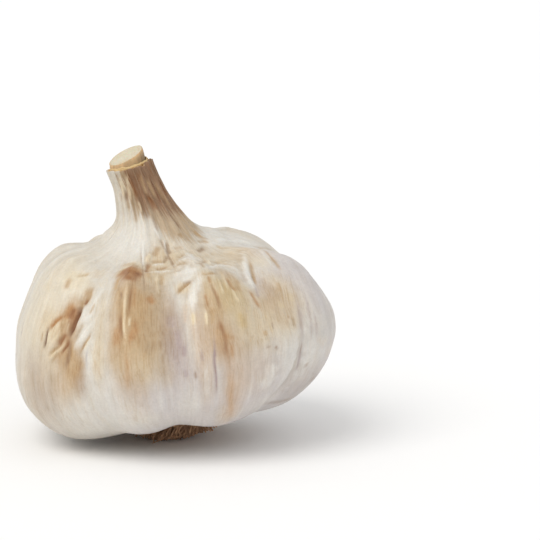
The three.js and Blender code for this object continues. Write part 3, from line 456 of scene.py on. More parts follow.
# Stains: turn, station, half width in degrees, half length in stations, tint, strength.
STAINS = [
    # front left clove
    (-150.0, 8.8, 18, 3.0, "cream", 0.45),
    (-143.0, 6.8, 18, 1.5, "sand", 0.5),
    # painted shade: the front left clove greyed low down
    (-146.0, 6.6, 22, 1.8, "grey", 0.4),
    (-130.0, 9.1, 4.6, 0.7, "tan", 0.75),
    (-133.5, 8.85, 5.5, 0.5, "tan", 0.85),
    (-130.5, 8.2, 5.4, 0.55, "tan", 0.9),
    (-129.5, 8.0, 5.0, 0.6, "brown", 0.3),
    (-124.8, 9.95, 2.6, 0.4, "tan", 0.6),
    (-137.5, 8.75, 4.0, 0.35, "sand", 0.9),
    (-126.5, 7.6, 5.0, 0.7, "tan", 0.8),
    (-123.5, 7.4, 3.5, 0.6, "umber", 0.45),
    (-134.0, 10.4, 8, 0.5, "cream", 0.5),
    (-139.0, 7.9, 6, 0.8, "sand", 0.4),
    (-131.0, 7.3, 5, 0.8, "tan", 0.6),
    (-142.2, 8.8, 4, 0.45, "sand", 0.6),
    (-115.0, 9.5, 4, 0.8, "sand", 0.6),
    (-128.0, 5.6, 15, 1.0, "white", 0.5),
    # painted highlight along the lit flank between the front left and front cloves
    (-117.0, 8.8, 4, 2.0, "white", 0.35),
    (-114.0, 8.3, 3.2, 1.0, "sand", 0.85),
    (-143.0, 7.0, 9, 0.9, "umber", 0.3),
    # front clove
    (-103.0, 11.75, 9, 0.3, "cream", 0.7),
    (-100.5, 9.9, 8.5, 1.3, "tan", 0.85),
    (-99.8, 8.8, 9.2, 1.1, "tan", 0.95),
    (-103.0, 10.95, 6.5, 0.42, "rust", 0.75),
    (-109.5, 11.3, 4.0, 0.36, "ochre", 0.7),
    (-104.0, 11.05, 5.0, 0.42, "rust", 0.75),
    (-98.5, 11.15, 3.6, 0.36, "rust", 0.75),
    (-107.0, 11.1, 3.0, 0.26, "brown", 0.85),
    (-99.0, 11.1, 2.4, 0.26, "brown", 0.85),
    (-98.5, 8.1, 6.5, 0.6, "tan", 0.75),
    (-105.5, 8.2, 4.5, 0.6, "tan", 0.55),
    (-100.5, 7.9, 7.5, 0.6, "tan", 0.5),
    (-94.5, 9.3, 6.0, 1.1, "tan", 0.8),
    (-92.0, 8.5, 5.0, 1.0, "olive", 0.8),
    (-90.0, 10.4, 6.0, 0.6, "olive", 0.7),
    (-99.8, 7.6, 7.0, 0.7, "sand", 0.9),
    (-102.0, 6.8, 6, 1.0, "peach", 0.45),
    (-89.0, 7.6, 4, 0.6, "olive", 0.6),
    (-92.0, 11.1, 9, 0.4, "sand", 0.7),
    # the valley between the front cloves: its plum and umber are partly stain and partly painted shade
    (-84.5, 8.6, 4.6, 1.3, "plum", 0.5),
    (-87.5, 9.4, 5.0, 0.9, "olive", 0.65),
    (-84.8, 8.9, 4.0, 0.9, "umber", 0.25),
    (-101.0, 7.2, 6, 0.6, "umber", 0.25),
    (-82.5, 7.3, 5.5, 0.9, "plum", 0.35),
    (-108.0, 6.1, 12, 1.1, "white", 0.5),
    (-81.0, 6.6, 5, 0.8, "white", 0.5),
    # front right clove
    (-64.0, 9.8, 8, 1.0, "ochre", 0.6),
    (-58.5, 9.3, 8, 1.0, "ochre", 0.5),
    (-53.5, 10.0, 7, 0.8, "ochre", 0.55),
    (-52.0, 10.55, 6, 0.4, "tan", 0.55),
    (-75.5, 8.2, 3.2, 1.8, "peach", 0.6),
    (-69.0, 9.0, 5, 1.0, "tan", 0.7),
    (-66.0, 8.3, 7, 0.7, "tan", 0.65),
    (-65.5, 6.7, 5.0, 1.8, "peach", 0.5),
    (-69.5, 8.25, 4, 0.7, "rust", 0.4),
    (-54.0, 8.5, 8, 0.7, "sand", 0.75),
    (-76.8, 10.3, 3.4, 0.3, "sand", 0.8),
    (-46.0, 8.9, 4, 0.7, "sand", 0.7),
    (-57.0, 7.2, 8, 0.9, "peach", 0.3),
    # right clove
    (-33.0, 9.4, 10, 0.8, "sand", 0.8),
    (-39.0, 9.8, 5, 0.6, "plum", 0.3),
    (-40.0, 8.5, 7, 0.6, "sand", 0.7),
    (-39.0, 8.95, 7, 0.7, "tan", 0.5),
    # painted shade low on the right clove
    (-28.0, 6.1, 12, 0.7, "umber", 0.25),
    (-24.0, 11.4, 14, 0.6, "sand", 0.6),
    # painted shade low on the right clove
    (-30.0, 6.0, 12, 0.9, "grey", 0.3),
    (-32.0, 7.4, 12, 1.2, "white", 0.5),
    (-16.0, 9.6, 12, 1.4, "lilac", 0.6),
    # crown
    (-58.0, 12.1, 34, 0.9, "sand", 0.6),
    (-82.0, 12.2, 15, 0.9, "olive", 0.35),
    (-88.0, 12.0, 11, 0.8, "sand", 0.7),
    (-72.0, 12.6, 9, 0.5, "sand", 0.5),
    (-105.0, 15.5, 12, 0.6, "tan", 0.8),
    (-126.0, 15.5, 7, 0.45, "tan", 0.35),
    (-106.0, 14.8, 9, 0.4, "olive", 0.5),
    (-94.0, 15.9, 12, 0.35, "rust", 0.7),
    (-127.0, 14.8, 8, 0.7, "sand", 0.4),
    (-128.0, 13.3, 26, 1.4, "white", 0.7),
    (-104.0, 13.2, 14, 1.2, "white", 0.9),
    (-60.0, 11.8, 8, 0.3, "white", 0.5),
    (-60.0, 12.7, 12, 0.4, "white", 0.4),
    (-73.0, 10.9, 5, 0.5, "white", 0.6),
    # painted highlights over the crown's right side, where it turns from the light
    (2.0, 12.5, 26, 0.6, "white", 0.7),
    (16.0, 11.3, 14, 0.6, "white", 0.9),
    (-24.0, 10.65, 5, 0.3, "cream", 0.35),
    # back cloves
    (38.0, 8.8, 10, 1.3, "sand", 0.6),
    (60.0, 9.2, 4, 1.3, "plum", 0.25),
    (82.0, 9.4, 11, 1.4, "ochre", 0.5),
    (103.0, 8.6, 4, 1.5, "plum", 0.25),
    (127.0, 9.2, 10, 1.3, "tan", 0.5),
    (146.0, 8.9, 4, 1.2, "tan", 0.4),
    (168.0, 8.4, 9, 1.5, "sand", 0.5),
]

# Broad swellings and dents: turn, station, half width in degrees, half length in stations, height in mm.
SWELLINGS = [
    (-131.0, 8.85, 7.5, 0.75, -0.5),
    (-42.0, 8.2, 6, 1.5, 0.45),
    (-171.0, 10.6, 8, 1.4, 0.8),
    (-176.0, 11.9, 16, 0.7, 0.5),
    (22.0, 12.2, 26, 0.8, 1.4),
    (22.0, 11.2, 16, 0.8, 0.25),
    (-8.0, 10.0, 9, 0.7, 0.6),
    (-178.0, 13.3, 24, 0.6, 0.7),
    (-80.0, 4.2, 24, 1.4, -1.0),
    (-135.0, 4.9, 22, 1.3, -0.35),
]

# The neck's tan zone starts above the first border and its brown above the second: (turn, station).
TAN_BORDER = [
    (-180, 17.0), (-152, 16.8), (-124, 16.4), (-112, 14.6), (-96, 14.3), (-86, 14.1), (-80, 13.7), (-72, 13.3),
    (-42, 12.7), (-10, 12.9), (30, 13.5), (60, 14.2), (110, 15.2), (150, 16.5), (180, 17.0),
]
BROWN_BORDER = [
    (-180, 17.6), (-140, 17.4), (-124, 16.9), (-108, 16.2), (-101, 14.6), (-92, 14.35), (-83, 14.45),
    (-70, 14.25), (-57, 14.05), (-38, 14.0), (-10, 13.8), (30, 14.1), (60, 14.9), (110, 15.8), (150, 17.2),
    (180, 17.6),
]


def linear(rgb):
    c = np.asarray(rgb, float) / 255
    return np.where(c <= 0.04045, c / 12.92, ((c + 0.055) / 1.055) ** 2.4)


def near_line(p, normals, points, widths):
    """Places near a line of the skin, and how much each belongs to it, fading towards the line's ends."""
    control = np.array(points)
    steps = 18 * (len(control) - 1) + 1
    line, _ = spline(control, np.linspace(0, len(control) - 1, steps))
    spots = skin_base(np.radians(line[:, 0]), line[:, 1])[0]
    middle = spots.mean(0)
    reach = 2.5 * max(widths) + np.linalg.norm(spots - middle, axis=-1).max()
    near = np.linalg.norm(p - middle, axis=-1) < reach
    offset = p[near][:, None] - spots[None]
    gap = np.linalg.norm(offset, axis=-1)
    nearest = gap.argmin(1)
    ahead = np.gradient(spots, axis=0)[nearest]
    aside = np.take_along_axis(offset, nearest[:, None, None], 1)[:, 0]
    second = (np.cross(ahead, aside) * normals[near]).sum(-1) > 0
    frayed = 1 + 0.4 * noise(p[near] / 0.9, 61) + 0.25 * noise(p[near] / 2.6, 62)
    width = np.where(second, widths[1], widths[0]) * frayed
    share = nearest / (steps - 1)
    ends = np.clip(3.6 * np.minimum(share, 1 - share), 0.12, 1)
    return near, ends * np.exp(-(gap.min(1) / width) ** 2)


def grain_turn(turn, s):
    """The turn at which each place's fibre reaches the crown: over the right-hand cloves the fibres slant."""
    degrees = np.degrees(turn)
    slanted = smoothstep(degrees, -100, -30) * (1 - smoothstep(degrees, 30, 100))
    return turn + np.radians(1.6 * slanted * (4.2 ** 2 - np.clip(s - 7, 0, 4.2) ** 2))


def skin_detail(turn, s, p, lines):
    """How far the finished skin stands off the plain form, in mm."""
    degrees = np.degrees(turn)
    grain = grain_turn(turn, s)
    ring = np.stack([np.cos(grain), np.sin(grain), np.zeros_like(turn)], -1)
    climb = np.stack([np.zeros_like(s)] * 2 + [s], -1)
    veins = noise(ring * 30 + climb * 0.8, 3) + 0.6 * noise(ring * 62 + climb * 1.4, 4)
    field = 0.03 * veins * smoothstep(s, LIP, UNDERSIDE) * (1 - 0.4 * smoothstep(s, CROWN, NECK_FOOT))
    bands = noise(ring * 10 + climb * 0.3, 6) + 0.4 * noise(ring * 21 + climb * 0.6, 7)
    field += 0.1 * bands * swell(s, LIP, EQUATOR, CROWN)
    # the neck's furrows, closer together than the pleats
    furrow = ridged(ring * 3.4 + climb * 0.2, 2, 11) + 0.6 * ridged(ring * 9 + climb * 0.45, 2, 12)
    field += 0.15 * (furrow - 0.6) * smoothstep(s, CROWN + 0.6, NECK_FLARE)
    # soft long folds that run out from the neck over the shoulders
    rays = noise(ring * 6 + climb * 0.35, 21) + 0.5 * noise(ring * 15 + climb * 0.5, 22)
    field += 0.13 * rays * swell(s, UPPER_BELLY - 0.6, CROWN + 0.6, NECK_FLARE)
    # crumpled paper between the neck and the shoulders
    crumple = ridged(p / 3.4 + 0.45 * noise(p / 2.1, 5)[..., None], 3, 8)
    front = np.exp(-(around(degrees, -62) / 34) ** 2)
    field += (0.07 + 0.2 * front) * (crumple - 0.35) * swell(s, SHOULDER - 0.4, CROWN + 0.9, NECK_FLARE)
    field += 0.08 * (ridged(p / 4.0, 3, 9) - 0.4) * swell(s, BELLY, SHOULDER, DISH)
    field += 0.12 * noise(p / 7, 33) * smoothstep(s, SOLE, BELLY) * (1 - smoothstep(s, SHOULDER, DISH))
    field += 0.05 * fractal(p / 2.2, 2, 34) * smoothstep(s, SOLE, BELLY)
    for at, station, wide, long, height in SWELLINGS:
        field += height * np.exp(-((around(degrees, at) / wide) ** 2 + ((s - station) / long) ** 2))
    wrinkle = ridged(ring * 14 + climb * 1.8 + 0.35 * noise(p / 2.5, 15)[..., None], 2, 14)
    dent = np.exp(-((around(degrees, -131) / 8) ** 2 + ((s - 8.6) / 0.9) ** 2))
    field += 0.14 * dent * (wrinkle - 0.5)
    for (near, amount), (_, _, height, _, _) in zip(lines, LINES):
        field[near] += height * amount
    return field


def skin_paint(turn, s, p, field, lines):
    """Linear colours of each point: the paper between its fibres, and the fibres."""
    degrees = np.degrees(turn)
    grain = grain_turn(turn, s)
    ring = np.stack([np.cos(grain), np.sin(grain), np.zeros_like(turn)], -1)
    climb = np.stack([np.zeros_like(s)] * 2 + [s], -1)
    streak = noise(ring * 26 + climb * 0.9, 41) + 0.8 * noise(ring * 60 + climb * 1.7, 42)
    cloud = fractal(p / 5, 3, 43)
    mottle = fractal(p / 2.0, 3, 44) + 0.5 * noise(ring * 45 + climb * 3, 45)
    band = noise(ring * 9 + climb * 0.25, 46) + 0.5 * noise(ring * 20 + climb * 0.5, 47)
    colour = np.broadcast_to(linear(PAPER), p.shape).copy()
    stained = np.zeros(s.shape)

    def lay(tint, weight, where=slice(None)):
        weight = np.clip(weight, 0, 1)
        colour[where] = colour[where] * (1 - weight[..., None]) + linear(TINTS[tint]) * weight[..., None]
        if tint not in ("white", "lilac", "grey", "cream"):
            stained[where] = np.maximum(stained[where], weight)

    low = 1 - smoothstep(s, BELLY - 0.6, UPPER_BELLY - 0.3)
    right = smoothstep(around(degrees, -118), 0, 14)
    lay("lilac", low * (0.35 + 0.55 * right) * (0.8 + 0.3 * cloud))
    far = np.exp(-(around(degrees, -12) / 42) ** 2)
    lay("lilac", 0.35 * far * (1 - smoothstep(s, SHOULDER, CROWN)))
    belly = swell(s, SOLE, EQUATOR, CROWN)
    lay("white", 0.5 * smoothstep(band, 0.1, 1.0) * belly)
    lay("grey", 0.3 * smoothstep(-band, 0.2, 1.1) * belly)
    lay("sand", 0.35 * smoothstep(cloud + 0.4 * mottle, 0.2, 1.3) * swell(s, LIP, SHOULDER, NECK_WAIST))
    lay("white", 0.3 * smoothstep(streak - 0.4 * cloud, 0.4, 1.2) * (1 - smoothstep(s, SHOULDER, CROWN)))
    # pale and cream stripes down the front left clove
    stripe = noise(ring * 21 + climb * 0.7, 48) + 0.5 * noise(ring * 44 + climb * 1.2, 49)
    side = np.exp(-(around(degrees, -140) / 26) ** 2) * swell(s, SOLE, LOWER_BELLY + 0.6, SHOULDER)
    lay("sand", 0.6 * side * smoothstep(stripe, 0.1, 0.9))
    lay("white", 0.7 * side * smoothstep(-stripe, 0.1, 0.9))
    # round the root pad the skin is stained by it
    lay("tan", 0.8 * (1 - smoothstep(s + 0.5 * streak, LIP - 0.6, LIP + 0.9)))
    hollow = np.clip((blurred(field, 4) - field) / 0.16, -1, 1)
    crown = swell(s, UPPER_BELLY, CROWN + 0.8, NECK_FLARE + 0.6)
    facing = np.exp(-(around(degrees, -62) / 40) ** 2)
    # painted shade: tan in the hollows of the crown's relief, more over the front
    lay("tan", (0.15 + 0.35 * facing) * crown * np.clip(hollow, 0, 1))
    lay("tan", 0.34 * facing * crown * smoothstep(mottle - 0.3 * cloud, 0.1, 1.0))
    # painted highlight: white on the crown's ridges
    lay("white", 0.35 * crown * np.clip(-hollow, 0, 1))
    for at, station, wide, long, tint, strength in STAINS:
        gap = (around(degrees, at) / wide) ** 2 + ((s - station) / long) ** 2
        gap = gap + 0.3 * cloud + 0.15 * streak + 0.12 * mottle
        lay(tint, strength * np.exp(-np.maximum(gap, 0) ** 1.5))
    for tint, border, strength in (("olive", TAN_BORDER, 0.85), ("umber", BROWN_BORDER, 0.92)):
        edge = np.interp(degrees, *np.array(border, float).T)
        dry = smoothstep(s + 0.3 * streak, edge - 0.25, edge + 0.4)
        lay(tint, strength * dry)
    # painted shade in the dry neck's furrows (brown) and painted highlight on their ridges (tan)
    lay("brown", 0.3 * dry * smoothstep(hollow + 0.5 * streak, 0.0, 0.9))
    lay("tan", 0.3 * dry * smoothstep(-hollow, 0.0, 0.8))
    pale = smoothstep(s, NECK_FOOT, NECK_FLARE) * (1 - dry)
    lay("sand", 0.25 * pale * smoothstep(streak, 0.0, 1.0))
    # the lines' tints: partly stains, partly painted highlights on raised folds and painted shade in grooves
    for (near, amount), (_, _, _, tint, strength) in zip(lines, LINES):
        lay(tint, strength * np.clip(amount * 1.2, 0, 1) * (1 + 0.25 * streak[near]), near)
    # painted shade: the relief's hollows darkened, blue most and red least, and its ridges a little lightened
    shade = (1 - 0.16 * np.clip(hollow, -0.35, 1))[..., None] ** np.array([0.8, 1.0, 1.2])
    colour = 0.94 * colour * shade * (1 + 0.025 * streak + 0.03 * mottle)[..., None]
    stained = stained[..., None]
    fibres = colour * (np.array([0.945, 0.93, 0.915]) * (1 - stained) + np.array([0.86, 0.78, 0.68]) * stained)
    return np.clip(colour * (1 + 0.04 * stained), 0, 1), np.clip(fibres, 0, 1)


# Meshes
def mesh_object(name, points, faces, smooth=True):
    """A mesh object in metres from points in mm, and a list of arrays of faces, each of one corner count."""
    mesh = bpy.data.meshes.new(name)
    counts = np.concatenate([np.full(len(f), f.shape[1]) for f in faces])
    corners = np.concatenate([f.ravel() for f in faces]).astype(np.int32)
    mesh.vertices.add(len(points))
    mesh.vertices.foreach_set("co", (np.asarray(points) * MM).astype(np.float32).ravel())
    mesh.loops.add(len(corners))
    mesh.loops.foreach_set("vertex_index", corners)
    mesh.polygons.add(len(counts))
    mesh.polygons.foreach_set("loop_start", np.concatenate([[0], np.cumsum(counts)[:-1]]).astype(np.int32))
    mesh.polygons.foreach_set("use_smooth", np.full(len(counts), smooth))
    mesh.update(calc_edges=True)
    mesh.validate()
    obj = bpy.data.objects.new(name, mesh)
    bpy.context.scene.collection.objects.link(obj)
    return obj


def ring_faces(rows, columns, offset=0):
    """Faces of a grid of rows that closes round, stored row by row, facing outwards for rising rows."""
    row = np.arange(rows - 1)[:, None] * columns + offset
    column, after = np.arange(columns), (np.arange(columns) + 1) % columns
    return np.stack([row + column, row + after, row + columns + after, row + columns + column], -1).reshape(-1, 4)


def fan_faces(first, columns, pole, outward):
    column, after = first + np.arange(columns), first + (np.arange(columns) + 1) % columns
    pair = (column, after) if outward else (after, column)
    return np.stack([*pair, np.full(columns, pole)], -1)


def set_colours(obj, name, rgb):
    values = np.concatenate([rgb, np.ones((len(rgb), 1))], -1).astype(np.float32)
    obj.data.color_attributes.new(name, "FLOAT_COLOR", "POINT").data.foreach_set("color", values.ravel())


def set_vectors(obj, name, vectors):
    attribute = obj.data.attributes.new(name, "FLOAT_VECTOR", "POINT")
    attribute.data.foreach_set("vector", np.asarray(vectors, np.float32).ravel())


# Materials
def material(name, roughness, **inputs):
    made = bpy.data.materials.new(name)
    made.use_nodes = True
    shader = made.node_tree.nodes["Principled BSDF"]
    shader.inputs["Roughness"].default_value = roughness
    for socket, value in inputs.items():
        shader.inputs[socket.replace("_", " ")].default_value = value
    return made, shader


def node(made, kind, inputs=None, **settings):
    new = made.node_tree.nodes.new(kind)
    for key, value in settings.items():
        setattr(new, key, value)
    for key, value in (inputs or {}).items():
        if isinstance(value, bpy.types.NodeSocket):
            made.node_tree.links.new(value, new.inputs[key])
        else:
            new.inputs[key].default_value = value
    return new


def link(made, output, socket):
    made.node_tree.links.new(output, socket)


def streaky_material(name, attribute, roughness, fine, coarse, contrast, bump, **inputs):
    """Colour from the mesh, varied by fibres that run along the piece's own vector attribute."""
    made, shader = material(name, roughness, **inputs)
    tone = node(made, "ShaderNodeAttribute", attribute_name="tone")
    along = node(made, "ShaderNodeAttribute", attribute_name=attribute)
    fibre = node(made, "ShaderNodeTexNoise", {"Vector": along.outputs["Vector"], "Scale": fine, "Detail": 2.0})
    patch = node(made, "ShaderNodeTexNoise", {"Vector": along.outputs["Vector"], "Scale": coarse, "Detail": 4.0})
    shade = node(made, "ShaderNodeMapRange", {"Value": fibre.outputs["Fac"], "From Min": 0.3, "From Max": 0.7,
                                              "To Min": 1 - contrast, "To Max": 1 + contrast * 0.6})
    broad = node(made, "ShaderNodeMapRange", {"Value": patch.outputs["Fac"], "From Min": 0.3, "From Max": 0.7,
                                              "To Min": 1 - contrast * 0.4, "To Max": 1 + contrast * 0.2})
    both = node(made, "ShaderNodeMath", {0: shade.outputs["Result"], 1: broad.outputs["Result"]},
                operation="MULTIPLY")
    colour = node(made, "ShaderNodeVectorMath", {0: tone.outputs["Color"], 3: both.outputs["Value"]},
                  operation="SCALE")
    link(made, colour.outputs["Vector"], shader.inputs["Base Color"])
    gloss = node(made, "ShaderNodeMapRange", {"Value": patch.outputs["Fac"], "From Min": 0.3, "From Max": 0.7,
                                              "To Min": roughness - 0.08, "To Max": roughness + 0.1})
    link(made, gloss.outputs["Result"], shader.inputs["Roughness"])
    relief = node(made, "ShaderNodeBump", {"Height": fibre.outputs["Fac"], "Strength": bump, "Distance": 0.12 * MM})
    link(made, relief.outputs["Normal"], shader.inputs["Normal"])
    return made, shader, colour, fibre, relief


def skin_material():
    made, shader, paper, fibre, relief = streaky_material(
        "papery_skin", "fibre", 0.52, 1.0, 0.16, 0.05, 0.45,
        Subsurface_Weight=0.12, Subsurface_Scale=0.8 * MM, Specular_IOR_Level=0.4, Sheen_Weight=0.05)
    shader.inputs["Subsurface Radius"].default_value = (1.0, 0.75, 0.5)
    fibres = node(made, "ShaderNodeAttribute", attribute_name="fibre_tone")
    amount = node(made, "ShaderNodeMapRange", {"Value": fibre.outputs["Fac"], "From Min": 0.46, "From Max": 0.66,
                                               "To Min": 0.0, "To Max": 1.0})
    colour = node(made, "ShaderNodeMix", data_type="RGBA")
    link(made, amount.outputs["Result"], colour.inputs["Factor"])
    link(made, paper.outputs["Vector"], colour.inputs[6])
    link(made, fibres.outputs["Color"], colour.inputs[7])
    place = node(made, "ShaderNodeTexCoord")
    grain = node(made, "ShaderNodeTexNoise", {"Vector": place.outputs["Object"], "Scale": 2400.0, "Detail": 2.0})
    speck = node(made, "ShaderNodeMapRange", {"Value": grain.outputs["Fac"], "From Min": 0.3, "From Max": 0.7,
                                              "To Min": 0.95, "To Max": 1.04})
    speckled = node(made, "ShaderNodeVectorMath", {0: colour.outputs[2], 3: speck.outputs["Result"]},
                    operation="SCALE")
    link(made, speckled.outputs["Vector"], shader.inputs["Base Color"])
    crinkle = node(made, "ShaderNodeTexNoise", {"Vector": place.outputs["Object"], "Scale": 520.0, "Detail": 4.0})
    finer = node(made, "ShaderNodeBump", {"Height": crinkle.outputs["Fac"], "Normal": relief.outputs["Normal"],
                                          "Strength": 0.35, "Distance": 0.14 * MM})
    link(made, finer.outputs["Normal"], shader.inputs["Normal"])
    return made


def skin_turns(columns):
    """Directions of the skin's columns, closer together towards the front."""
    even = np.linspace(-180, 180, 7201)
    density = 1 + 1.1 * np.exp(-(around(even, -74) / 62) ** 2)
    reached = np.concatenate([[0], np.cumsum((density[1:] + density[:-1]) / 2)])
    return np.radians(np.interp(np.arange(columns) / columns * reached[-1], reached, even))


SKIN_COLUMNS = 468
SKIN_ROWS = [(0, 0.6), (8, LIP), (22, UNDERSIDE), (68, 8.2), (160, NECK_FOOT), (203, NECK_RIM)]


def skin_piece():
    """The whole skin: one closed grid from the root recess over the rim and down into the neck's socket."""
    turn = skin_turns(SKIN_COLUMNS)
    rows_at, stations_at = np.array(SKIN_ROWS).T
    T, S = np.meshgrid(turn, np.interp(np.arange(rows_at[-1] + 1), rows_at, stations_at))
    plain, _ = skin_base(T, S)
    normals = grid_normals(plain)
    lines = [near_line(plain, normals, points, widths) for points, widths, _, _, _ in LINES]
    field = skin_detail(T, S, plain, lines)
    upright = plain + normals * field[..., None]
    # the neck stands a little to the right of the plain form's
    upright -= normals * (0.3 * smoothstep(S, 14.9, 15.7))[..., None]
    upright[..., 0] += 0.35 * smoothstep(S, NECK_FOOT, NECK_FLARE) * (1 - smoothstep(S, 15.2, NECK_RIM))
    # the torn rim
    degrees = np.degrees(T)
    ring = np.stack([np.cos(T), np.sin(T), np.zeros_like(T)], -1)
    ragged = 0.22 * noise(ring * 5, 51) + 0.12 * noise(ring * 17, 52)
    ragged = ragged + 0.55 * np.exp(-(around(degrees, -14) / 10) ** 2)
    upright[..., 2] += ragged * smoothstep(S, NECK_RIM - 0.6, NECK_RIM)
    middle = BEND_TOWARDS * NECK_OFFSET
    aside = upright[..., :2] - middle[:2]
    thin = np.maximum((SOCKET_RADIUS + 0.12) / np.linalg.norm(aside, axis=-1, keepdims=True), 1)
    walled = upright[..., 2:] > SOCKET_FLOOR - 0.6
    upright[..., :2] = np.where(walled, middle[:2] + aside * thin, upright[..., :2])
    paint, fibre_paint = skin_paint(T, S, plain, field, lines)
    rows = [*leaned(bent(upright))]
    rim = upright[-1]
    inner = []
    for share, drop in ((0.35, -0.05), (0.75, 0.05), (1.0, 0.3), (1.0, 0.7), (1.0, 1.2), (1.0, 2.4)):
        wall = np.stack([SOCKET_RADIUS * np.cos(turn), SOCKET_RADIUS * np.sin(turn), rim[:, 2]], -1) + middle
        row = rim * (1 - share) + wall * share
        row[:, 2] = np.maximum(rim[:, 2] - drop, SOCKET_FLOOR)
        inner.append(row)
    rows += [leaned(bent(row)) for row in inner]
    poles = leaned(bent(np.array([[middle[0], middle[1], SOCKET_FLOOR]])))
    bottom = leaned(np.array([[0, 0, OUTLINE[0][1]]]))
    points = np.concatenate([np.concatenate(rows), poles, bottom])
    count = len(rows)
    faces = [
        ring_faces(count, SKIN_COLUMNS),
        np.concatenate([fan_faces((count - 1) * SKIN_COLUMNS, SKIN_COLUMNS, count * SKIN_COLUMNS, True),
                        fan_faces(0, SKIN_COLUMNS, count * SKIN_COLUMNS + 1, False)]),
    ]
    obj = mesh_object("papery_skin_and_neck", points, faces)
    # the socket's lining, paler in its top two rows: painted shade darkens it deeper down, most towards turn -14 in the
    # gap by the core
    lining_and_shade = np.broadcast_to(linear((176, 138, 98)), (len(inner), SKIN_COLUMNS, 3)).copy()
    lining_and_shade[:2] = linear((214, 184, 146))
    lining_and_shade *= (1 - 0.7 * np.exp(-(around(degrees[0], -14) / 22) ** 2))[:, None]
    for name, rgb in (("tone", paint), ("fibre_tone", fibre_paint)):
        set_colours(obj, name, np.concatenate([rgb.reshape(-1, 3), lining_and_shade.reshape(-1, 3), np.full((2, 3), 0.2)]))
    grain = grain_turn(T, S)
    fibre = np.stack([np.cos(grain) * 76, np.sin(grain) * 76, S * 2.2], -1) + 1.3 * noise(plain / 3.5, 91)[..., None]
    fibre = fibre.reshape(-1, 3)
    set_vectors(obj, "fibre", np.concatenate([fibre, np.tile(fibre[-SKIN_COLUMNS:], (len(inner), 1)), fibre[:2]]))
    obj.data.materials.append(skin_material())
    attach(obj, "root")
    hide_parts("skin_and_cloves")
    return obj


# Root pad
PLATE = [(0, 5.0), (3.5, 4.9), (6.6, 5.3), (8.7, 5.9), (9.4, 6.5), (8.6, 7.2), (5, 7.5), (0, 7.6)]
ROOTS = 1800
ROOT_SPREAD = 6.1
STUBS = 620
STUB_SPREAD = 8.6
PAD_DOME = 0.9
PAD_LIFT = 0.5


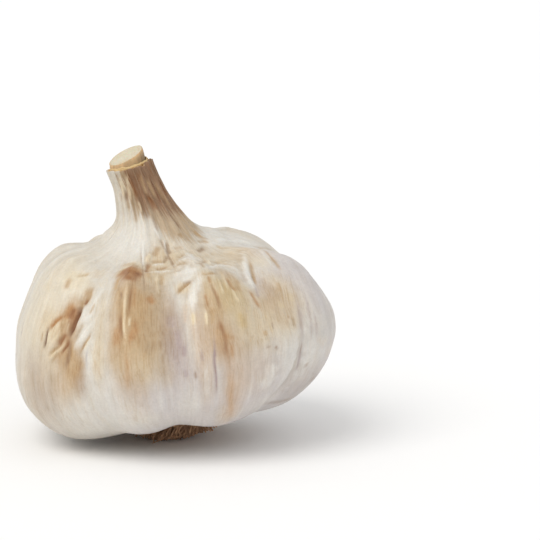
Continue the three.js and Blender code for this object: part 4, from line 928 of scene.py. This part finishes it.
def root_pad_pieces():
    random = np.random.default_rng(17)
    sides, steps = 5, 5
    around_root = np.arange(sides) * 2 * np.pi / sides
    points, faces, tones, along = [], [], [], []
    golden = math.pi * (3 - math.sqrt(5))
    light, mid, foot_shade = linear((216, 172, 134)), linear((162, 122, 94)), linear((70, 48, 33))
    for k in range(ROOTS + STUBS):
        # short stubs stand round the tuft, inside the recess
        stub = (k - ROOTS + 0.5) / STUBS
        share = math.sqrt((k + 0.5) / ROOTS) if stub < 0 else math.sqrt(1 + ((STUB_SPREAD / ROOT_SPREAD) ** 2 - 1) * stub)
        turn = k * golden + random.uniform(-0.3, 0.3)
        radial = np.array([math.cos(turn), math.sin(turn), 0])
        foot = ROOT_SPREAD * share * radial
        foot[2] = min(5.2 + 0.9 * share ** 2, 6.4)
        splay = math.radians(np.clip(random.normal(16 + 20 * share, 9), 0, 48))
        veer = turn - math.radians(110) + random.normal(0, 0.35)
        ahead = np.array([math.sin(splay) * math.cos(veer), math.sin(splay) * math.sin(veer), -math.cos(splay)])
        tip = foot + ahead * (foot[2] - 0.8) / math.cos(splay)
        lift = PAD_LIFT * (smoothstep(tip[0], -1.0, 6.5) + 1.4 * smoothstep(-tip[0], 4.0, 7.0)) + 0.28 * np.clip(-tip[1] - 2.6, 0, 4.2)
        lift = lift * (1 - 0.9 * math.exp(-((tip[0] + 3.7) / 0.9) ** 2 - ((tip[1] + 6.6) / 1.2) ** 2))
        tip_height = PAD_DOME * share ** 4 - 0.3 + lift + random.uniform(-0.2, 0.3)
        if stub > 0:
            tip_height = 3.2 + 1.2 * stub + random.uniform(-0.6, 0.6)
        length = (foot[2] - tip_height) / max(0.55, math.cos(splay))
        side = np.cross(ahead, [random.normal(), random.normal(), random.normal()])
        side /= np.linalg.norm(side)
        curl = random.normal(0, 0.16) * length
        radius = random.uniform(0.13, 0.25)
        t = np.linspace(0, 1, steps + 1)
        spine = (foot - ahead * 0.4 + np.outer(t, ahead * (length + 0.4)) + np.outer(curl * np.sin(t * np.pi), side)
                 + random.normal(0, 0.05, (steps + 1, 3)))
        across = np.cross(ahead, side)
        width = radius * (1 - 0.18 * t) * (1 + random.normal(0, 0.07, steps + 1))
        rings = spine[:, None] + width[:, None, None] * (
            np.cos(around_root)[None, :, None] * side + np.sin(around_root)[None, :, None] * across)
        base = sum(len(p) for p in points)
        points.append(np.concatenate([rings.reshape(-1, 3), spine[-1:] + ahead * 0.08]))
        faces.append((ring_faces(steps + 1, sides, base), fan_faces(base + steps * sides, sides, base + (steps + 1) * sides, True)))
        own = mid + (light - mid) * random.uniform(0, 1.1)
        own = own * random.uniform(0.8, 1.12)
        # painted shade: each root darkens towards its foot, down among the packed roots
        fade = np.repeat(np.clip(t * 1.5, 0, 1) ** 1.2, sides)[:, None]
        tones.append(np.concatenate([foot_shade * (1 - fade) + own * fade, (own * 1.08)[None]]))
        along.append(np.concatenate([np.stack([np.tile(around_root, steps + 1) * 3 + k, np.full(len(fade), k * 1.7),
                                               np.repeat(t, sides) * 1.5], -1), [[k, k, 2.0]]]))
    points = leaned(np.concatenate(points))
    points[:, 2] = np.maximum(points[:, 2], 0.02)
    obj = mesh_object("trimmed_roots", points, [np.concatenate([f[0] for f in faces]), np.concatenate([f[1] for f in faces])])
    set_colours(obj, "tone", np.clip(np.concatenate(tones), 0, 1))
    set_vectors(obj, "fibre", np.concatenate(along))
    made, *_ = streaky_material("dry_roots", "fibre", 0.72, 2.0, 0.6, 0.18, 0.5, Specular_IOR_Level=0.3)
    obj.data.materials.append(made)

    columns = 96
    turn = np.linspace(0, 2 * np.pi, columns, endpoint=False)
    outline = np.array(PLATE)
    t = np.linspace(0, len(outline) - 1, 42)
    profile = np.stack([np.interp(t, np.arange(len(outline)), outline[:, k]) for k in (0, 1)], -1)[1:-1]
    T, R = np.meshgrid(turn, profile[:, 0])
    Z = np.broadcast_to(profile[:, 1:2], T.shape)
    plate = np.stack([R * np.cos(T), R * np.sin(T), Z], -1)
    bumps = ridged(plate / 1.1, 2, 61)
    plate = plate + np.array([0, 0, -1]) * (0.25 * bumps * smoothstep(T * 0 + Z, 7.0, 6.0))[..., None]
    rows = leaned(plate)
    top, bottom = leaned(np.array([[0, 0, 7.6], [0, 0, 4.8]]))
    points = np.concatenate([rows.reshape(-1, 3), [top, bottom]])
    count = len(rows)
    plate_obj = mesh_object("root_plate", points, [
        ring_faces(count, columns),
        np.concatenate([fan_faces((count - 1) * columns, columns, count * columns, True),
                        fan_faces(0, columns, count * columns + 1, False)])])
    tone = linear((92, 60, 36)) * (1 + 0.5 * np.clip(bumps, -0.5, 1))[..., None]
    set_colours(plate_obj, "tone", np.concatenate([tone.reshape(-1, 3), np.full((2, 3), 0.05)]))
    set_vectors(plate_obj, "fibre", points)
    made, *_ = streaky_material("root_plate_bark", "fibre", 0.85, 1.6, 0.5, 0.3, 0.8, Specular_IOR_Level=0.2)
    plate_obj.data.materials.append(made)
    for piece in (obj, plate_obj):
        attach(piece, "root")
        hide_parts("root_pad")


# Cut stem
CORE_RADIUS = 3.45
CORE_ASIDE = np.array([-0.2, -0.05, 0])
CUT_HEIGHT = 2.0
CUT_SLOPE, CUT_FORWARD = 12.5, 10
STEM_FOOT = 51.9


def stem_pieces():
    middle = BEND_TOWARDS * NECK_OFFSET
    columns = 160
    turn = np.linspace(0, 2 * np.pi, columns, endpoint=False)
    degrees = np.degrees(turn)
    ring = np.stack([np.cos(turn), np.sin(turn), np.zeros_like(turn)], -1)
    wobble = 1 + 0.03 * noise(ring * 1.6, 71) + 0.012 * noise(ring * 9, 72)
    slope = (ring[:, 0] * math.tan(math.radians(CUT_SLOPE)) + ring[:, 1] * math.tan(math.radians(CUT_FORWARD)))
    cut_edge = RIM_HEIGHT + CUT_HEIGHT + CORE_RADIUS * slope
    rows, tones = [], []
    side, pale, rind = linear((196, 164, 122)), linear((213, 204, 180)), linear((204, 184, 146))
    for share in np.linspace(0, 1, 14):
        z = STEM_FOOT + (cut_edge - STEM_FOOT) * share
        grain = 0.05 * noise(np.stack([ring[:, 0] * 14, ring[:, 1] * 14, z * 0.4], -1), 73)
        r = CORE_RADIUS * wobble * (1 - 0.03 * smoothstep(share, 0.9, 1.0)) + grain
        rows.append(np.stack([r * ring[:, 0], r * ring[:, 1], z], -1))
        # painted shade: the core's side darker towards +x, away from the key light, below the cut
        shaded_side = 1 - 0.5 * smoothstep(ring[:, 0], 0.1, 1.0) * (1 - smoothstep(share, 0.7, 1.0))
        veins = 1 + 0.3 * noise(np.stack([ring[:, 0] * 9, ring[:, 1] * 9, z * 0.3], -1), 74)
        tones.append(side * (shaded_side * veins)[:, None])
    edge = rows[-1].copy()
    centre = edge.mean(0)
    for share in np.linspace(0.04, 0.985, 26):
        flat = edge * (1 - share) + centre * share
        rough = 0.06 * fractal(flat / 0.9, 3, 75) - 0.10 * np.exp(-((share - 0.14) / 0.05) ** 2)
        flat[:, 2] += rough + 0.04 * np.cos(share * 24) * (1 - share) - 0.12 * smoothstep(share, 0.7, 1.0)
        rows.append(flat)
        mix = np.clip(0.3 * np.cos(share * 30) + 0.35 * fractal(flat / 1.2, 3, 76) + 0.1, 0, 1)[:, None]
        edge_mix = smoothstep(share, 0.14, 0.0)
        tones.append((pale * (1 - mix * 0.7) + rind * mix * 0.7) * (1 - edge_mix * 0.4) + side * edge_mix * 0.4)
    count = len(rows)
    points = np.concatenate([np.concatenate(rows), [centre + [0, 0, -0.15]], [[0, 0, STEM_FOOT]]]) + middle + CORE_ASIDE
    core = mesh_object("stem_core", leaned(bent(points)), [
        ring_faces(count, columns),
        np.concatenate([fan_faces((count - 1) * columns, columns, count * columns, True),
                        fan_faces(0, columns, count * columns + 1, False)])])
    set_colours(core, "tone", np.clip(np.concatenate(tones + [pale[None] * 0.8, side[None]]), 0, 1))
    set_vectors(core, "fibre", np.concatenate([points * np.array([1, 1, 0.3])]))
    made, *_ = streaky_material("cut_stem_core", "fibre", 0.62, 3.2, 0.9, 0.08, 0.5, Subsurface_Weight=0.1,
                                Subsurface_Scale=0.8 * MM, Specular_IOR_Level=0.35)
    core.data.materials.append(made)

    # Dried inner layers: two thin torn sleeves round the core.
    sleeves, sleeve_faces, sleeve_tones, base = [], [], [], 0
    for radius, thick, above, seed in ((3.6, 0.1, 0.42, 81), (3.76, 0.1, 0.16, 82)):
        torn = above + 0.16 * noise(ring * 3, seed) + 0.06 * noise(ring * 12, seed + 5)
        torn = torn + 0.2 * np.exp(-(around(degrees, 0) / 50) ** 2)
        wave = 1 + 0.01 * noise(ring * 8, seed + 9)
        outside, inside = radius + thick / 2, radius - thick / 2
        for side_radius, shares in ((outside, np.linspace(0, 1, 8)), (inside, np.linspace(1, 0, 8))):
            for share in shares:
                z = STEM_FOOT + (RIM_HEIGHT + torn - STEM_FOOT) * share
                r = side_radius * wave
                sleeves.append(np.stack([r * ring[:, 0], r * ring[:, 1], z], -1))
                top = smoothstep(share, 0.82, 1.0)
                tone = linear((184, 142, 88)) * (1 - top) + linear((226, 200, 148)) * top
                sleeve_tones.append(tone * (1 + 0.12 * noise(ring * 9, seed + 3))[:, None])
        last = base + 15 * columns
        column, after = np.arange(columns), (np.arange(columns) + 1) % columns
        sleeve_faces += [ring_faces(16, columns, base),
                         np.stack([last + column, last + after, base + after, base + column], -1)]
        base += 16 * columns
    sleeves = np.concatenate(sleeves) + middle + CORE_ASIDE * 0.4
    sheath = mesh_object("stem_inner_layers", leaned(bent(sleeves)), [np.concatenate(sleeve_faces)])
    set_colours(sheath, "tone", np.clip(np.concatenate(sleeve_tones), 0, 1))
    set_vectors(sheath, "fibre", sleeves * np.array([3, 3, 1.0]))
    made, *_ = streaky_material("dried_inner_layers", "fibre", 0.6, 1.0, 0.3, 0.06, 0.25, Specular_IOR_Level=0.35)
    sheath.data.materials.append(made)
    for piece in (core, sheath):
        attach(piece, "root")
        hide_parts("cut_stem")


# Stage, light and camera
def stage():
    size = 3.0
    floor = mesh_object("floor", np.array([(-1, -1, 0), (1, -1, 0), (1, 1, 0), (-1, 1, 0)]) * size / MM, [np.array([[0, 1, 2, 3]])])
    made, shader = material("floor", 0.9, Specular_IOR_Level=0.1)
    shader.inputs["Base Color"].default_value = (0.97, 0.97, 0.966, 1)
    floor.data.materials.append(made)
    floor.location.z = -0.0001


def sun(name, towards, strength, spread, colour=(1, 1, 1)):
    data = bpy.data.lights.new(name, "SUN")
    data.energy = strength
    data.angle = math.radians(spread)
    data.color = colour
    lamp = bpy.data.objects.new(name, data)
    bpy.context.scene.collection.objects.link(lamp)
    lamp.rotation_euler = Vector(towards).to_track_quat("-Z", "Y").to_euler()


def lights():
    world = bpy.data.worlds.new("studio")
    bpy.context.scene.world = world
    world.use_nodes = True
    background = world.node_tree.nodes["Background"]
    background.inputs["Color"].default_value = (1, 1, 1, 1)
    background.inputs["Strength"].default_value = 0.73
    sun("key", (0.5, 0.5, -0.85), 1.3, 45, (1.0, 0.985, 0.96))
    sun("fill", (-0.7, 0.6, -0.4), 0.12, 60, (0.97, 0.98, 1.0))


ELEVATION = math.radians(13)
DISTANCE = 520 * MM
MM_PER_PIXEL = 0.194
FRAME = 540
ORIGIN_AT = (173, 434)


def camera():
    """The photograph's camera: the bulb's origin shows at ORIGIN_AT, left of and below the frame's middle."""
    back = Vector((0, -math.cos(ELEVATION), math.sin(ELEVATION)))
    up = back.cross(Vector((1, 0, 0)))
    data = bpy.data.cameras.new("camera")
    data.sensor_width = 36
    data.lens = 36 * (DISTANCE / MM / MM_PER_PIXEL) / FRAME
    data.clip_start = 0.01
    data.clip_end = 20
    obj = bpy.data.objects.new("camera", data)
    bpy.context.scene.collection.objects.link(obj)
    obj.location = back * DISTANCE
    half = FRAME / 2
    aim = (Vector((1, 0, 0)) * (half - ORIGIN_AT[0]) + up * (ORIGIN_AT[1] - half)) * MM_PER_PIXEL * MM
    obj.rotation_euler = (aim - obj.location).to_track_quat("-Z", "Y").to_euler()
    bpy.context.scene.camera = obj


camera()
stage()
lights()
skin_piece()
root_pad_pieces()
stem_pieces()
bpy.context.scene.view_settings.view_transform = "Standard"
